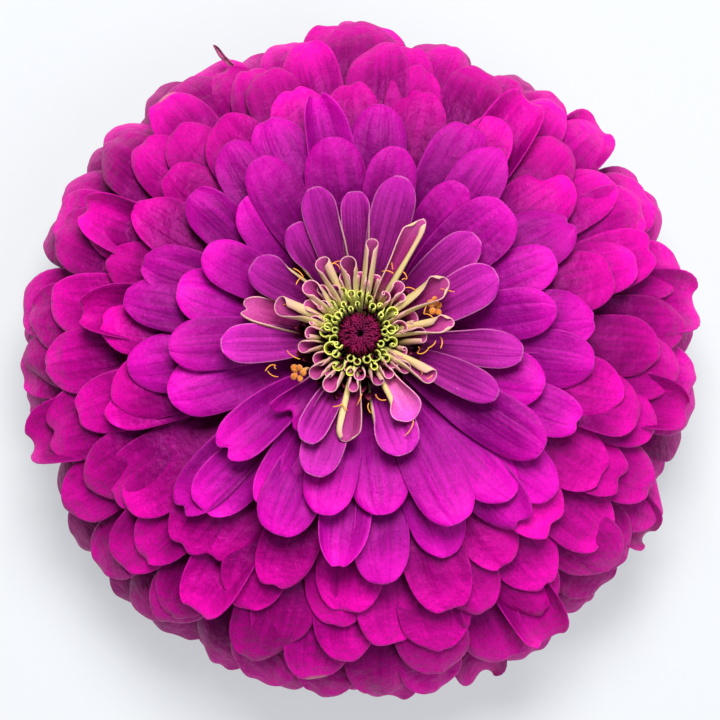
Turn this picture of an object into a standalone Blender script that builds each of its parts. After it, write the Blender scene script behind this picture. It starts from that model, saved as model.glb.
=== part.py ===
"""A double zinnia flower head, picked with its stalk cut short, lying on its back with its face up.

Metres, +Z up. The origin is on the surface that the head rests on, under the middle of the head.
The head is a dome of ray florets (its petals) on a cone-shaped receptacle. The eight lower whorls
are one solid each. The florets of the two upper rings, and the young ones that are still rolled
up, are solids of their own. Every floret lies on a surface of revolution, one above the other,
so that none touches its neighbour.
"""

import math

import bmesh
import bpy
from mathutils import Vector

MM = 0.001

# The dome that the ray tips reach, as an ellipse round a point on the axis.
DOME_RADIUS = 55.0 * MM
DOME_RISE = 33.5 * MM
DOME_CENTRE = 16.4 * MM

# The receptacle is a cone, and the claws of the florets sit on it from its foot to its shoulder.
FOOT_CLAW = (10.2 * MM, 13.6 * MM)
SHOULDER_CLAW = (6.2 * MM, 28.4 * MM)
RECEPTACLE_GAP = 0.55 * MM
RECEPTACLE_TOP = (3.0 * MM, 35.6 * MM)
STALK_RADIUS = 3.9 * MM
STALK_TOP = 4.6 * MM

# Ray florets.
BLADE_THICKNESS = 0.45 * MM
CLAW_WIDTH = 0.8 * MM
WIDEST_AT = 0.70
TIP_ROUNDING = 0.92
BLADE_ROWS = (0.0, 0.20, 0.44, WIDEST_AT, 0.90, 1.0)

# The eight lower whorls, outermost first: how far round the dome their tips reach, in degrees
# from the top. From the lowest whorl to the highest, the claws leave the receptacle more steeply
# upward and the blades get narrower.
WHORL_TIPS = (119.0, 101.0, 88.5, 78.5, 69.5, 61.5, 54.0, 46.0)
FLORETS_IN_WHORL = 22
WHORL_ROWS = (0.34, 0.66, 0.88, 1.0)
WHORL_DRIFT = 2.0
BLADE_EDGES = 2
WIDEST_SHARE_OF_STEP = 0.86
LOWEST_RISE = -8.0
HIGHEST_RISE = 42.0
OUTER_WIDTH = 13.4 * MM
INNER_WIDTH = 10.4 * MM
DROOP_SHARE = 0.86
STEEPEST_DROOP = 84.0

# The two upper rings: direction in degrees, reach from the axis and width in millimetres.
MIDDLE_CLAW = (5.4 * MM, 31.3 * MM)
MIDDLE_RISE = 50.0
MIDDLE_RING = (
    (8, 32.0, 7.6), (21, 34.0, 7.6), (42, 31.5, 9.2), (58, 29.5, 6.6), (78, 31.0, 8.0),
    (97, 32.5, 9.2), (118, 33.0, 8.4), (132, 29.0, 8.4), (149, 28.5, 7.4), (166, 30.5, 8.8),
    (182, 31.0, 8.0), (199, 32.5, 9.0), (221, 29.5, 7.8), (238, 32.0, 6.4), (260, 30.0, 7.6),
    (277, 29.5, 8.4), (299, 34.5, 8.8), (314, 36.0, 9.4), (328, 35.0, 8.4), (342, 31.0, 8.6),
)
INNER_CLAW = (4.7 * MM, 33.7 * MM)
INNER_RISE = 56.0
INNER_RING = (
    (15, 24.0, 6.4), (39, 24.5, 6.2), (75, 26.0, 6.0), (92, 23.0, 4.6), (108, 24.5, 5.4),
    (124, 20.5, 5.0), (142, 20.5, 5.8), (170, 19.5, 4.8), (187, 22.5, 6.0), (244, 20.0, 4.6),
    (252, 24.5, 6.0), (290, 21.0, 6.2), (338, 24.5, 5.0), (353, 26.5, 5.6),
)
STEP_BETWEEN_NEIGHBOURS = 0.65 * MM
LIFT_OFF_DOME = 0.9 * MM

# Young florets, still rolled up: direction in degrees, reach and radius of the mouth in millimetres.
ROLLED_CLAW = (3.9 * MM, 37.6 * MM)
ROLLED = (
    (3, 14.6, 1.3), (30, 15.0, 1.7), (60, 20.5, 1.1), (83, 14.4, 1.1), (100, 12.4, 1.1),
    (119, 13.4, 1.3), (139, 12.4, 1.2), (162, 13.4, 1.4), (229, 15.6, 1.5), (262, 16.6, 1.1),
    (301, 15.0, 1.8), (327, 14.4, 1.5),
)
ROLLED_RISE = 11.2 * MM
ROLLED_LIFT_PER_REACH = 0.16
ROLLED_NECK = 0.35

# The crown of green quills, and the cone of chaff in its middle.
CROWN_INNER = 4.2 * MM
CROWN_OUTER = 6.0 * MM
CROWN_BASE = 41.7 * MM
CROWN_HEIGHT = 4.0 * MM
CROWN_QUILLS = 18
CHAFF_RADIUS = 3.6 * MM
CHAFF_BASE = 36.1 * MM
CHAFF_TOP = 44.4 * MM
CHAFF_DIMPLE = 1.0 * MM

# Disc florets lean out among the rolled ones: direction in degrees, radius and height of the star.
DISC_FLORETS = ((214.0, 12.6 * MM, 47.6 * MM), (17.0, 13.4 * MM, 48.2 * MM))
DISC_LEAN = 38.0
DISC_TUBE_RADIUS = 0.4 * MM
DISC_STAR_RADIUS = 1.3 * MM
DISC_LENGTH = 4.4 * MM

# The green cup of bracts under the head.
BRACTS = 12
BRACT_CLAW = (6.2 * MM, 6.0 * MM)
BRACT_TIP = (15.5 * MM, 10.4 * MM)
BRACT_THICKNESS = 0.7 * MM
BRACT_WIDTH = 6.4 * MM

# Colour, roughness and metallic value of each finish.
FINISHES = {
    "magenta_ray": ((0.60, 0.010, 0.36, 1.0), 0.62, 0.0),
    "violet_ray": ((0.42, 0.020, 0.38, 1.0), 0.62, 0.0),
    "rolled_ray": ((0.45, 0.36, 0.16, 1.0), 0.65, 0.0),
    "green_quill": ((0.42, 0.48, 0.09, 1.0), 0.60, 0.0),
    "chaff": ((0.10, 0.004, 0.035, 1.0), 0.80, 0.0),
    "disc_star": ((0.85, 0.33, 0.01, 1.0), 0.60, 0.0),
    "bract_green": ((0.11, 0.20, 0.04, 1.0), 0.65, 0.0),
}


def mix(a, b, share):
    """The value that share of the way from a to b."""
    return a + (b - a) * share


def dome_point(degrees_from_top):
    """(radius, height) on the dome that far round from its top."""
    angle = math.radians(degrees_from_top)
    return DOME_RADIUS * math.sin(angle), DOME_CENTRE + DOME_RISE * math.cos(angle)


def tip_droop(degrees_from_top):
    """How far below level a tip points there, in degrees: a little less than the dome's outline."""
    angle = math.radians(degrees_from_top)
    slope = math.atan2(DOME_RISE * math.sin(angle), DOME_RADIUS * math.cos(angle))
    return min(DROOP_SHARE * math.degrees(slope), STEEPEST_DROOP)


def arching_line(claw, rise, tip, droop):
    """The midrib from claw to tip, as a function of the share along it that gives (radius, height)."""
    chord = math.dist(claw, tip)
    start, end = math.radians(rise), math.radians(-droop)
    first = (claw[0] + 0.42 * chord * math.cos(start), claw[1] + 0.42 * chord * math.sin(start))
    second = (tip[0] - 0.36 * chord * math.cos(end), tip[1] - 0.36 * chord * math.sin(end))

    def at(share):
        rest = 1 - share
        weights = (rest**3, 3 * rest**2 * share, 3 * rest * share**2, share**3)
        points = (claw, first, second, tip)
        return tuple(sum(w * p[axis] for w, p in zip(weights, points)) for axis in (0, 1))

    return at


def blade_half_width(share, width, claw_width):
    """Half the width of a ray floret that share along it: a narrow claw, a broad blade, a round tip."""
    grown = math.sin(0.5 * math.pi * min(share / WIDEST_AT, 1.0)) ** 1.3
    half = 0.5 * mix(claw_width, width, grown)
    past = max(share - WIDEST_AT, 0.0) / (1.0 - WIDEST_AT)
    return half * math.sqrt(1.0 - (TIP_ROUNDING * past) ** 2)


def on_dome(line, share, across, degrees):
    """The point beside the midrib, on the surface that the midrib sweeps round the axis."""
    radius, height = line(share)
    angle = math.radians(degrees) + across / max(radius, MM)
    return Vector((radius * math.cos(angle), radius * math.sin(angle), height))


def new_collection(name):
    """A collection in the scene, for the parts."""
    collection = bpy.data.collections.new(name)
    bpy.context.scene.collection.children.link(collection)
    return collection


def make_materials():
    """One Principled material for each finish."""
    made = {}
    for name, (colour, roughness, metallic) in FINISHES.items():
        material = bpy.data.materials.new(name)
        material.use_nodes = True
        shader = material.node_tree.nodes["Principled BSDF"]
        shader.inputs["Base Color"].default_value = colour
        shader.inputs["Roughness"].default_value = roughness
        shader.inputs["Metallic"].default_value = metallic
        material.diffuse_color = colour
        made[name] = material
    return made


def add_object(name, bm, material):
    """A mesh object from a bmesh, smooth but for its sharp edges."""
    bmesh.ops.recalc_face_normals(bm, faces=bm.faces)
    mesh = bpy.data.meshes.new(name)
    bm.to_mesh(mesh)
    bm.free()
    mesh.shade_smooth()
    mesh.set_sharp_from_angle(angle=math.radians(50))
    mesh.materials.append(material)
    obj = bpy.data.objects.new(name, mesh)
    PARTS.objects.link(obj)
    return obj


def thicken(obj, thickness):
    """Turns an open surface into a shell, half its thickness to each side."""
    shell = obj.modifiers.new("thickness", "SOLIDIFY")
    shell.thickness = thickness
    shell.offset = 0.0
    shell.use_even_offset = True
    return obj


def grow_row(bm, row, place):
    """Extrudes a row of joined vertices {vertex: side} by one row, each new one put at place(side)."""
    edges = {e for v in row for e in v.link_edges if e.other_vert(v) in row}
    made = bmesh.ops.extrude_edge_only(bm, edges=list(edges))["geom"]
    fresh = [item for item in made if isinstance(item, bmesh.types.BMVert)]
    grown = {}
    for vertex in fresh:
        old = next(e.other_vert(vertex) for e in vertex.link_edges if e.other_vert(vertex) in row)
        grown[vertex] = row[old]
        vertex.co = place(row[old])
    return grown


def lobed_ring(name, line, count, phase, width, rows, thickness, material, collar=0.035):
    """Blades side by side round the axis, with room between them, joined at their claws."""
    bm = bmesh.new()
    points = count * BLADE_EDGES
    radius, height = line(0.0)
    circle = bmesh.ops.create_circle(bm, segments=points, radius=radius, cap_ends=False)["verts"]
    for index, vertex in enumerate(circle):
        vertex.co = on_dome(line, 0.0, 0.0, phase + 360.0 * (index - 1) / points)
    inner = {vertex: index for index, vertex in enumerate(circle)}
    outer = grow_row(
        bm, inner, lambda index: on_dome(line, collar, 0.0, phase + 360.0 * (index - 1) / points)
    )
    by_index = {index: vertex for vertex, index in outer.items()}
    for blade in range(count):
        direction = phase + 360.0 * blade / count
        claw = [by_index[(blade * BLADE_EDGES + k) % points] for k in range(BLADE_EDGES + 1)]
        row = {vertex: k - 0.5 * BLADE_EDGES for k, vertex in enumerate(claw)}
        for share in rows:
            room = WIDEST_SHARE_OF_STEP * math.pi * line(share)[0] / count
            half = min(blade_half_width(share, width, CLAW_WIDTH), room) / (0.5 * BLADE_EDGES)
            row = grow_row(
                bm, row, lambda side, s=share, h=half: on_dome(line, s, side * h, direction)
            )
    return thicken(add_object(name, bm, material), thickness)


def single_blade(name, line, direction, width, material):
    """One ray floret, from its claw to its tip."""
    along = len(BLADE_ROWS) - 1
    bm = bmesh.new()
    grid = bmesh.ops.create_grid(bm, x_segments=3, y_segments=along, size=0.5)["verts"]
    for vertex in grid:
        share = BLADE_ROWS[round((vertex.co.y + 0.5) * along)]
        side = 2.0 * vertex.co.x
        half = blade_half_width(share, width, CLAW_WIDTH)
        vertex.co = on_dome(line, share, side * half, direction)
    return thicken(add_object(name, bm, material), BLADE_THICKNESS)


def make_whorls(finishes):
    """The eight lower whorls, outermost first."""
    last = len(WHORL_TIPS) - 1
    for index, degrees in enumerate(WHORL_TIPS):
        share = index / last
        claw = tuple(mix(a, b, share) for a, b in zip(FOOT_CLAW, SHOULDER_CLAW))
        rise = mix(LOWEST_RISE, HIGHEST_RISE, share)
        line = arching_line(claw, rise, dome_point(degrees), tip_droop(degrees))
        half_step = 180.0 / FLORETS_IN_WHORL
        lobed_ring(
            f"ray_whorl_{index + 1}", line, FLORETS_IN_WHORL, index * (half_step + WHORL_DRIFT),
            mix(OUTER_WIDTH, INNER_WIDTH, share), WHORL_ROWS, BLADE_THICKNESS,
            finishes["magenta_ray"],
        )


def cut_short(line, reach):
    """The same midrib, ending where it is that far from the axis."""
    low, high = 0.0, 1.0
    for _ in range(30):
        middle = 0.5 * (low + high)
        low, high = (middle, high) if line(middle)[0] < reach else (low, middle)
    return lambda share: line(share * low)


def make_upper_ring(name, ring, claw, rise, material):
    """Separate florets on one midrib line, neighbours a step up and down, so that they can overlap."""
    longest = max(reach for _, reach, _ in ring)
    degrees = math.degrees(math.asin(longest * MM / DOME_RADIUS))
    tip_radius, tip_height = dome_point(degrees)
    tip_height += LIFT_OFF_DOME
    for number, (direction, reach, width) in enumerate(ring, start=1):
        step = STEP_BETWEEN_NEIGHBOURS * (1 if number % 2 else -1)
        line = arching_line(
            (claw[0], claw[1] + step), rise, (tip_radius, tip_height + step), tip_droop(degrees)
        )
        line = cut_short(line, reach * MM)
        single_blade(f"{name}_{number:02d}", line, direction, width * MM, material)


def make_rolled(finishes):
    """Young florets, as the closed outer shape of each roll."""
    for number, (direction, reach, mouth) in enumerate(ROLLED, start=1):
        angle = math.radians(direction)
        out = Vector((math.cos(angle), math.sin(angle), 0.0))
        tip_height = ROLLED_CLAW[1] + ROLLED_RISE + ROLLED_LIFT_PER_REACH * (reach - 14.0) * MM
        curve = bpy.data.curves.new(f"rolled_floret_{number:02d}", "CURVE")
        curve.dimensions = "3D"
        curve.bevel_depth = mouth * MM
        curve.bevel_resolution = 2
        curve.use_fill_caps = True
        spline = curve.splines.new("POLY")
        shares = (0.0, 0.35, 0.7, 1.0)
        spline.points.add(len(shares) - 1)
        for point, share in zip(spline.points, shares):
            radius = mix(ROLLED_CLAW[0], reach * MM, share)
            height = mix(ROLLED_CLAW[1], tip_height, math.sin(0.5 * math.pi * share))
            point.co = (*(out * radius + Vector((0, 0, height))), 1.0)
            point.radius = mix(ROLLED_NECK, 1.0, share)
        curve.materials.append(finishes["rolled_ray"])
        PARTS.objects.link(bpy.data.objects.new(curve.name, curve))


def turned(name, outline, steps, material):
    """A solid of revolution from an outline of (radius, height), from the top down its outer side."""
    bm = bmesh.new()
    corners = [bm.verts.new((radius, 0.0, height)) for radius, height in outline]
    for above, below in zip(corners, corners[1:]):
        bm.edges.new((above, below))
    mesh = bpy.data.meshes.new(name)
    bm.to_mesh(mesh)
    bm.free()
    mesh.materials.append(material)
    obj = bpy.data.objects.new(name, mesh)
    PARTS.objects.link(obj)
    screw = obj.modifiers.new("turn", "SCREW")
    screw.steps = steps
    screw.render_steps = steps
    screw.use_merge_vertices = True
    screw.merge_threshold = 0.00001
    screw.use_smooth_shade = True
    return obj


def make_stalk_and_receptacle(finishes):
    """The cut stalk and the cone that it widens into, which grew as one piece."""
    foot = (FOOT_CLAW[0] - RECEPTACLE_GAP, FOOT_CLAW[1])
    shoulder = (SHOULDER_CLAW[0] - RECEPTACLE_GAP, SHOULDER_CLAW[1])
    outline = (
        (0.0, RECEPTACLE_TOP[1]), RECEPTACLE_TOP, shoulder, foot,
        (foot[0] - 1.6 * MM, foot[1] - 2.6 * MM), (STALK_RADIUS + 0.3 * MM, STALK_TOP),
        (STALK_RADIUS, 0.0), (0.0, 0.0),
    )
    turned("stalk_and_receptacle", outline, 24, finishes["bract_green"])


def make_involucre(finishes):
    """The cup of green bracts round the foot of the receptacle."""
    line = arching_line(BRACT_CLAW, 40.0, BRACT_TIP, -8.0)
    lobed_ring(
        "involucre", line, BRACTS, 0.0, BRACT_WIDTH, (WIDEST_AT, 1.0), BRACT_THICKNESS,
        finishes["bract_green"], collar=0.25,
    )


def make_crown(finishes):
    """The ring of green quills, joined at their feet, with an uneven rim."""
    bm = bmesh.new()
    points = 2 * CROWN_QUILLS
    circle = bmesh.ops.create_circle(bm, segments=points, radius=CROWN_INNER, cap_ends=False)["verts"]
    feet = {vertex: index for index, vertex in enumerate(circle)}

    def rim(index):
        angle = 2.0 * math.pi * index / points
        lift = CROWN_HEIGHT * (1.0 if index % 2 else 0.7)
        return Vector(
            (CROWN_OUTER * math.cos(angle), CROWN_OUTER * math.sin(angle), CROWN_BASE + lift)
        )

    for vertex, index in feet.items():
        angle = 2.0 * math.pi * index / points
        vertex.co = Vector(
            (CROWN_INNER * math.cos(angle), CROWN_INNER * math.sin(angle), CROWN_BASE)
        )
    grow_row(bm, feet, rim)
    thicken(add_object("quill_crown", bm, finishes["green_quill"]), 0.6 * MM)


def make_chaff(finishes):
    """The dark cone of chaff in the middle, with its sunken tip."""
    outline = (
        (0.0, CHAFF_TOP - CHAFF_DIMPLE), (0.45 * CHAFF_RADIUS, CHAFF_TOP),
        (0.88 * CHAFF_RADIUS, CHAFF_TOP - 1.2 * MM), (CHAFF_RADIUS, CHAFF_TOP - 3.2 * MM),
        (0.75 * CHAFF_RADIUS, CHAFF_BASE), (0.0, CHAFF_BASE),
    )
    turned("chaff_cone", outline, 24, finishes["chaff"])


def make_disc_florets(finishes):
    """The open disc florets: a slim tube that flares into a small star."""
    outline = (
        (0.0, -0.5 * MM), (DISC_STAR_RADIUS, 0.0), (0.9 * DISC_STAR_RADIUS, -0.6 * MM),
        (DISC_TUBE_RADIUS, -1.4 * MM), (0.7 * DISC_TUBE_RADIUS, -DISC_LENGTH), (0.0, -DISC_LENGTH),
    )
    for number, (direction, radius, height) in enumerate(DISC_FLORETS, start=1):
        floret = turned(f"disc_floret_{number}", outline, 10, finishes["disc_star"])
        angle = math.radians(direction)
        floret.location = (radius * math.cos(angle), radius * math.sin(angle), height)
        floret.rotation_euler = (0.0, math.radians(DISC_LEAN), angle)


for old in list(bpy.data.objects):
    bpy.data.objects.remove(old)
PARTS = new_collection("zinnia_flower")
MADE = make_materials()
make_stalk_and_receptacle(MADE)
make_involucre(MADE)
make_whorls(MADE)
make_upper_ring("middle_ray", MIDDLE_RING, MIDDLE_CLAW, MIDDLE_RISE, MADE["violet_ray"])
make_upper_ring("inner_ray", INNER_RING, INNER_CLAW, INNER_RISE, MADE["violet_ray"])
make_rolled(MADE)
make_crown(MADE)
make_chaff(MADE)
make_disc_florets(MADE)
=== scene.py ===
"""A double zinnia flower head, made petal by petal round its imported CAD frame.

Every ray floret is a closed blade of its own. The lower whorls are one piece each, as in the
frame, and the florets of the two upper rings and the rolled ones are single pieces. Lengths are
in metres and directions in degrees, counted from +X towards +Y round the flower's axis.
"""

import logging
import math
import random
from dataclasses import dataclass, field
from enum import Enum
from typing import Sequence, Union

import bmesh
import bpy
from mathutils import Matrix, Vector


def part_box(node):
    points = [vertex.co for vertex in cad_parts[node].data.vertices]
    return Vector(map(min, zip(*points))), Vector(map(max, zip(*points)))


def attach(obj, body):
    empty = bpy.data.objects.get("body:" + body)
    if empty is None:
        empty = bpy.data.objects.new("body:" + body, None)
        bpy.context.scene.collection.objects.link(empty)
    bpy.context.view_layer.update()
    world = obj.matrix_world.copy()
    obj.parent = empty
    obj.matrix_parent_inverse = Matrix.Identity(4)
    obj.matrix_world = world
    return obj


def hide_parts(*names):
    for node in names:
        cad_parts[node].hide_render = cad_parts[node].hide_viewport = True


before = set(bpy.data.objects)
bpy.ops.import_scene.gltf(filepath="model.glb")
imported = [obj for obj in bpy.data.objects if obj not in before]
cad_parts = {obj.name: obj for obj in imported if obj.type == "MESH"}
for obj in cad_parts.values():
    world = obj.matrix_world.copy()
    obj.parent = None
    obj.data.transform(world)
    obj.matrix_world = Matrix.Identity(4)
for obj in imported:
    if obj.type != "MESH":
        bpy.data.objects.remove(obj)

LOG = logging.getLogger("zinnia")
MM = 0.001
GOLDEN_TURN = 137.508  # degrees from each floret or bristle of a spiral to the next
MIDDLE_AT = 0.45  # how far along a blade the bend called its middle one stands
CURL_FROM = 0.72  # how far along a blade its last stretch starts to turn down
GROOVE_AT = 0.36  # where a blade's two grooves lie, as a share of its half width
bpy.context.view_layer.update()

Colour = tuple[float, float, float]
Point2 = tuple[float, float]
Socket = bpy.types.NodeSocket
Value = Union[Socket, float, Sequence[float]]


def mix(low: float, high: float, share: float) -> float:
    """Returns the value that share of the way from low to high."""
    return low + (high - low) * share


def smooth(share: float) -> float:
    """Returns share, held between 0 and 1 and eased at both ends."""
    held = min(max(share, 0.0), 1.0)
    return held * held * (3.0 - 2.0 * held)


def around(bearing: float) -> Vector:
    """Returns the level unit vector that points in that direction from the axis."""
    angle = math.radians(bearing)
    return Vector((math.cos(angle), math.sin(angle), 0.0))


def draws(seed: int) -> random.Random:
    """Returns a dataclass field that holds a source of small irregularities of its own."""
    return field(default_factory=lambda: random.Random(seed))


# --- What the frame says ---


@dataclass(frozen=True)
class Growth:
    """Where one CAD floret grows, read from its own solid.

    Attributes:
        bearing: direction from the axis, in degrees.
        claw: radius and height of its foot.
        tip: radius and height of its end.
        width: its greatest width.
    """

    bearing: float
    claw: Point2
    tip: Point2
    width: float


def growth_of(node: str, end_share: float = 0.04) -> Growth:
    """Reads where a CAD floret's foot and end are.

    Args:
        node: the CAD node's name.
        end_share: the share of its reach that counts as its foot, and as its end.

    Returns:
        Its bearing, foot, end and width.
    """
    corners = [vertex.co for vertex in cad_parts[node].data.vertices]
    reach = [math.hypot(corner.x, corner.y) for corner in corners]
    near, far = min(reach), max(reach)
    span = end_share * (far - near)
    foot = [c for c, r in zip(corners, reach) if r < near + span]
    end = [c for c, r in zip(corners, reach) if r > far - span]
    middle = sum(end, Vector()) / len(end)
    height = sum(c.z for c in foot) / len(foot)
    bearing = math.degrees(math.atan2(middle.y, middle.x))
    out = around(bearing)
    width = 2.0 * max(abs(out.x * c.y - out.y * c.x) for c in corners)
    return Growth(bearing, (near, height), (far, middle.z), width)


@dataclass(frozen=True)
class Dome:
    """The dome that the tips of the ray florets reach.

    Attributes:
        radius: its widest radius.
        centre: the height where it is widest.
        rise: how far its top stands above that height.
    """

    radius: float
    centre: float
    rise: float

    def point(self, degrees: float) -> Point2:
        """Returns the radius and height that many degrees round from the top."""
        angle = math.radians(degrees)
        return self.radius * math.sin(angle), self.centre + self.rise * math.cos(angle)

    def slope(self, degrees: float) -> float:
        """Returns how far below level the outline runs there, in degrees."""
        angle = math.radians(degrees)
        return math.degrees(math.atan2(self.rise * math.sin(angle), self.radius * math.cos(angle)))

    def degrees_at(self, radius: float) -> float:
        """Returns how far round from the top the upper side has that radius."""
        return math.degrees(math.asin(min(radius / self.radius, 1.0)))


def dome_of_frame() -> Dome:
    """Reads the dome's width and height from the box of the widest whorl.

    Returns:
        The dome.
    """
    inset, drop, rise = 0.2 * MM, 0.8 * MM, 33.5 * MM
    low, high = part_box("ray_whorl_3")
    return Dome(high.x - inset, low.z - drop, rise)


# --- Finishes ---


class Graph:
    """A thin layer over a material's node tree, so that a finish reads as a recipe."""

    def __init__(self, name: str) -> None:
        """Starts a material with a Principled shader.

        Args:
            name: the material's name.
        """
        self.material = bpy.data.materials.new(name)
        self.material.use_nodes = True
        self.tree = self.material.node_tree
        self.shader = self.tree.nodes["Principled BSDF"]

    def put(self, socket: Socket, value: Value) -> None:
        """Links a socket to another, or sets it to a plain value.

        Args:
            socket: the input.
            value: the socket that feeds it, or the number or colour that it is set to.
        """
        if isinstance(value, Socket):
            self.tree.links.new(value, socket)
        elif isinstance(value, tuple) and len(value) == 3 and socket.type == "RGBA":
            socket.default_value = (*value, 1.0)
        else:
            socket.default_value = value

    def node(self, kind: str, settings: dict | None = None, **inputs: Value) -> bpy.types.Node:
        """Adds a node.

        Args:
            kind: the node's type.
            settings: attributes of the node itself.
            **inputs: sockets by name, with underscores for spaces, or by position as in_0.

        Returns:
            The node.
        """
        made = self.tree.nodes.new(kind)
        for key, value in (settings or {}).items():
            setattr(made, key, value)
        for key, value in inputs.items():
            name = int(key[3:]) if key.startswith("in_") else key.replace("_", " ")
            self.put(made.inputs[name], value)
        return made

    def math(self, operation: str, *terms: Value) -> Socket:
        """Returns the result of a Math node."""
        inputs = {f"in_{place}": term for place, term in enumerate(terms)}
        return self.node("ShaderNodeMath", {"operation": operation}, **inputs).outputs[0]

    def band(
        self, value: Value, low: float, high: float, first: float = 0.0, last: float = 1.0
    ) -> Socket:
        """Returns value eased from first to last while it runs from low to high."""
        ends = {"in_1": low, "in_2": high, "in_3": first, "in_4": last}
        return self.node(
            "ShaderNodeMapRange", {"interpolation_type": "SMOOTHSTEP"}, in_0=value, **ends
        ).outputs[0]

    def blend(self, factor: Value, first: Value, second: Value, how: str = "MIX") -> Socket:
        """Returns two colours mixed by a factor, from the Mix node's own colour sockets."""
        settings = {"data_type": "RGBA", "blend_type": how}
        return self.node(
            "ShaderNodeMix", settings, in_0=factor, in_6=first, in_7=second
        ).outputs[2]

    def noise(
        self, vector: Value, scale: float, detail: float = 2.0, shift: Value = 0.0,
        rough: float = 0.5,
    ) -> Socket:
        """Returns a noise value that differs with shift as well as with place."""
        return self.node(
            "ShaderNodeTexNoise", {"noise_dimensions": "4D"}, Vector=vector, W=shift,
            Scale=scale, Detail=detail, Roughness=rough,
        ).outputs[0]

    def stretched(self, vector: Value, scale: tuple[float, float, float]) -> Socket:
        """Returns a vector scaled along its axes."""
        return self.node("ShaderNodeMapping", Vector=vector, Scale=scale).outputs[0]

    def coordinates(self, which: str) -> Socket:
        """Returns the piece's Object or UV coordinates."""
        return self.node("ShaderNodeTexCoord").outputs[which]

    def attribute(self, name: str) -> Socket:
        """Returns a number that the mesh carries."""
        return self.node("ShaderNodeAttribute", {"attribute_name": name}).outputs["Fac"]

    def bump(self, height: Value, distance: float, strength: float = 1.0) -> None:
        """Feeds the shader's normal from a height."""
        made = self.node("ShaderNodeBump", Height=height, Distance=distance, Strength=strength)
        self.put(self.shader.inputs["Normal"], made.outputs[0])

    def finish(self, colour: Value, roughness: Value, **plain: Value) -> bpy.types.Material:
        """Feeds the shader.

        Args:
            colour: its base colour.
            roughness: its roughness.
            **plain: its other sockets by name, with underscores for spaces.

        Returns:
            The finished material.
        """
        self.put(self.shader.inputs["Base Color"], colour)
        self.put(self.shader.inputs["Roughness"], roughness)
        for key, value in plain.items():
            self.put(self.shader.inputs[key.replace("_", " ")], value)
        return self.material


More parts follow.
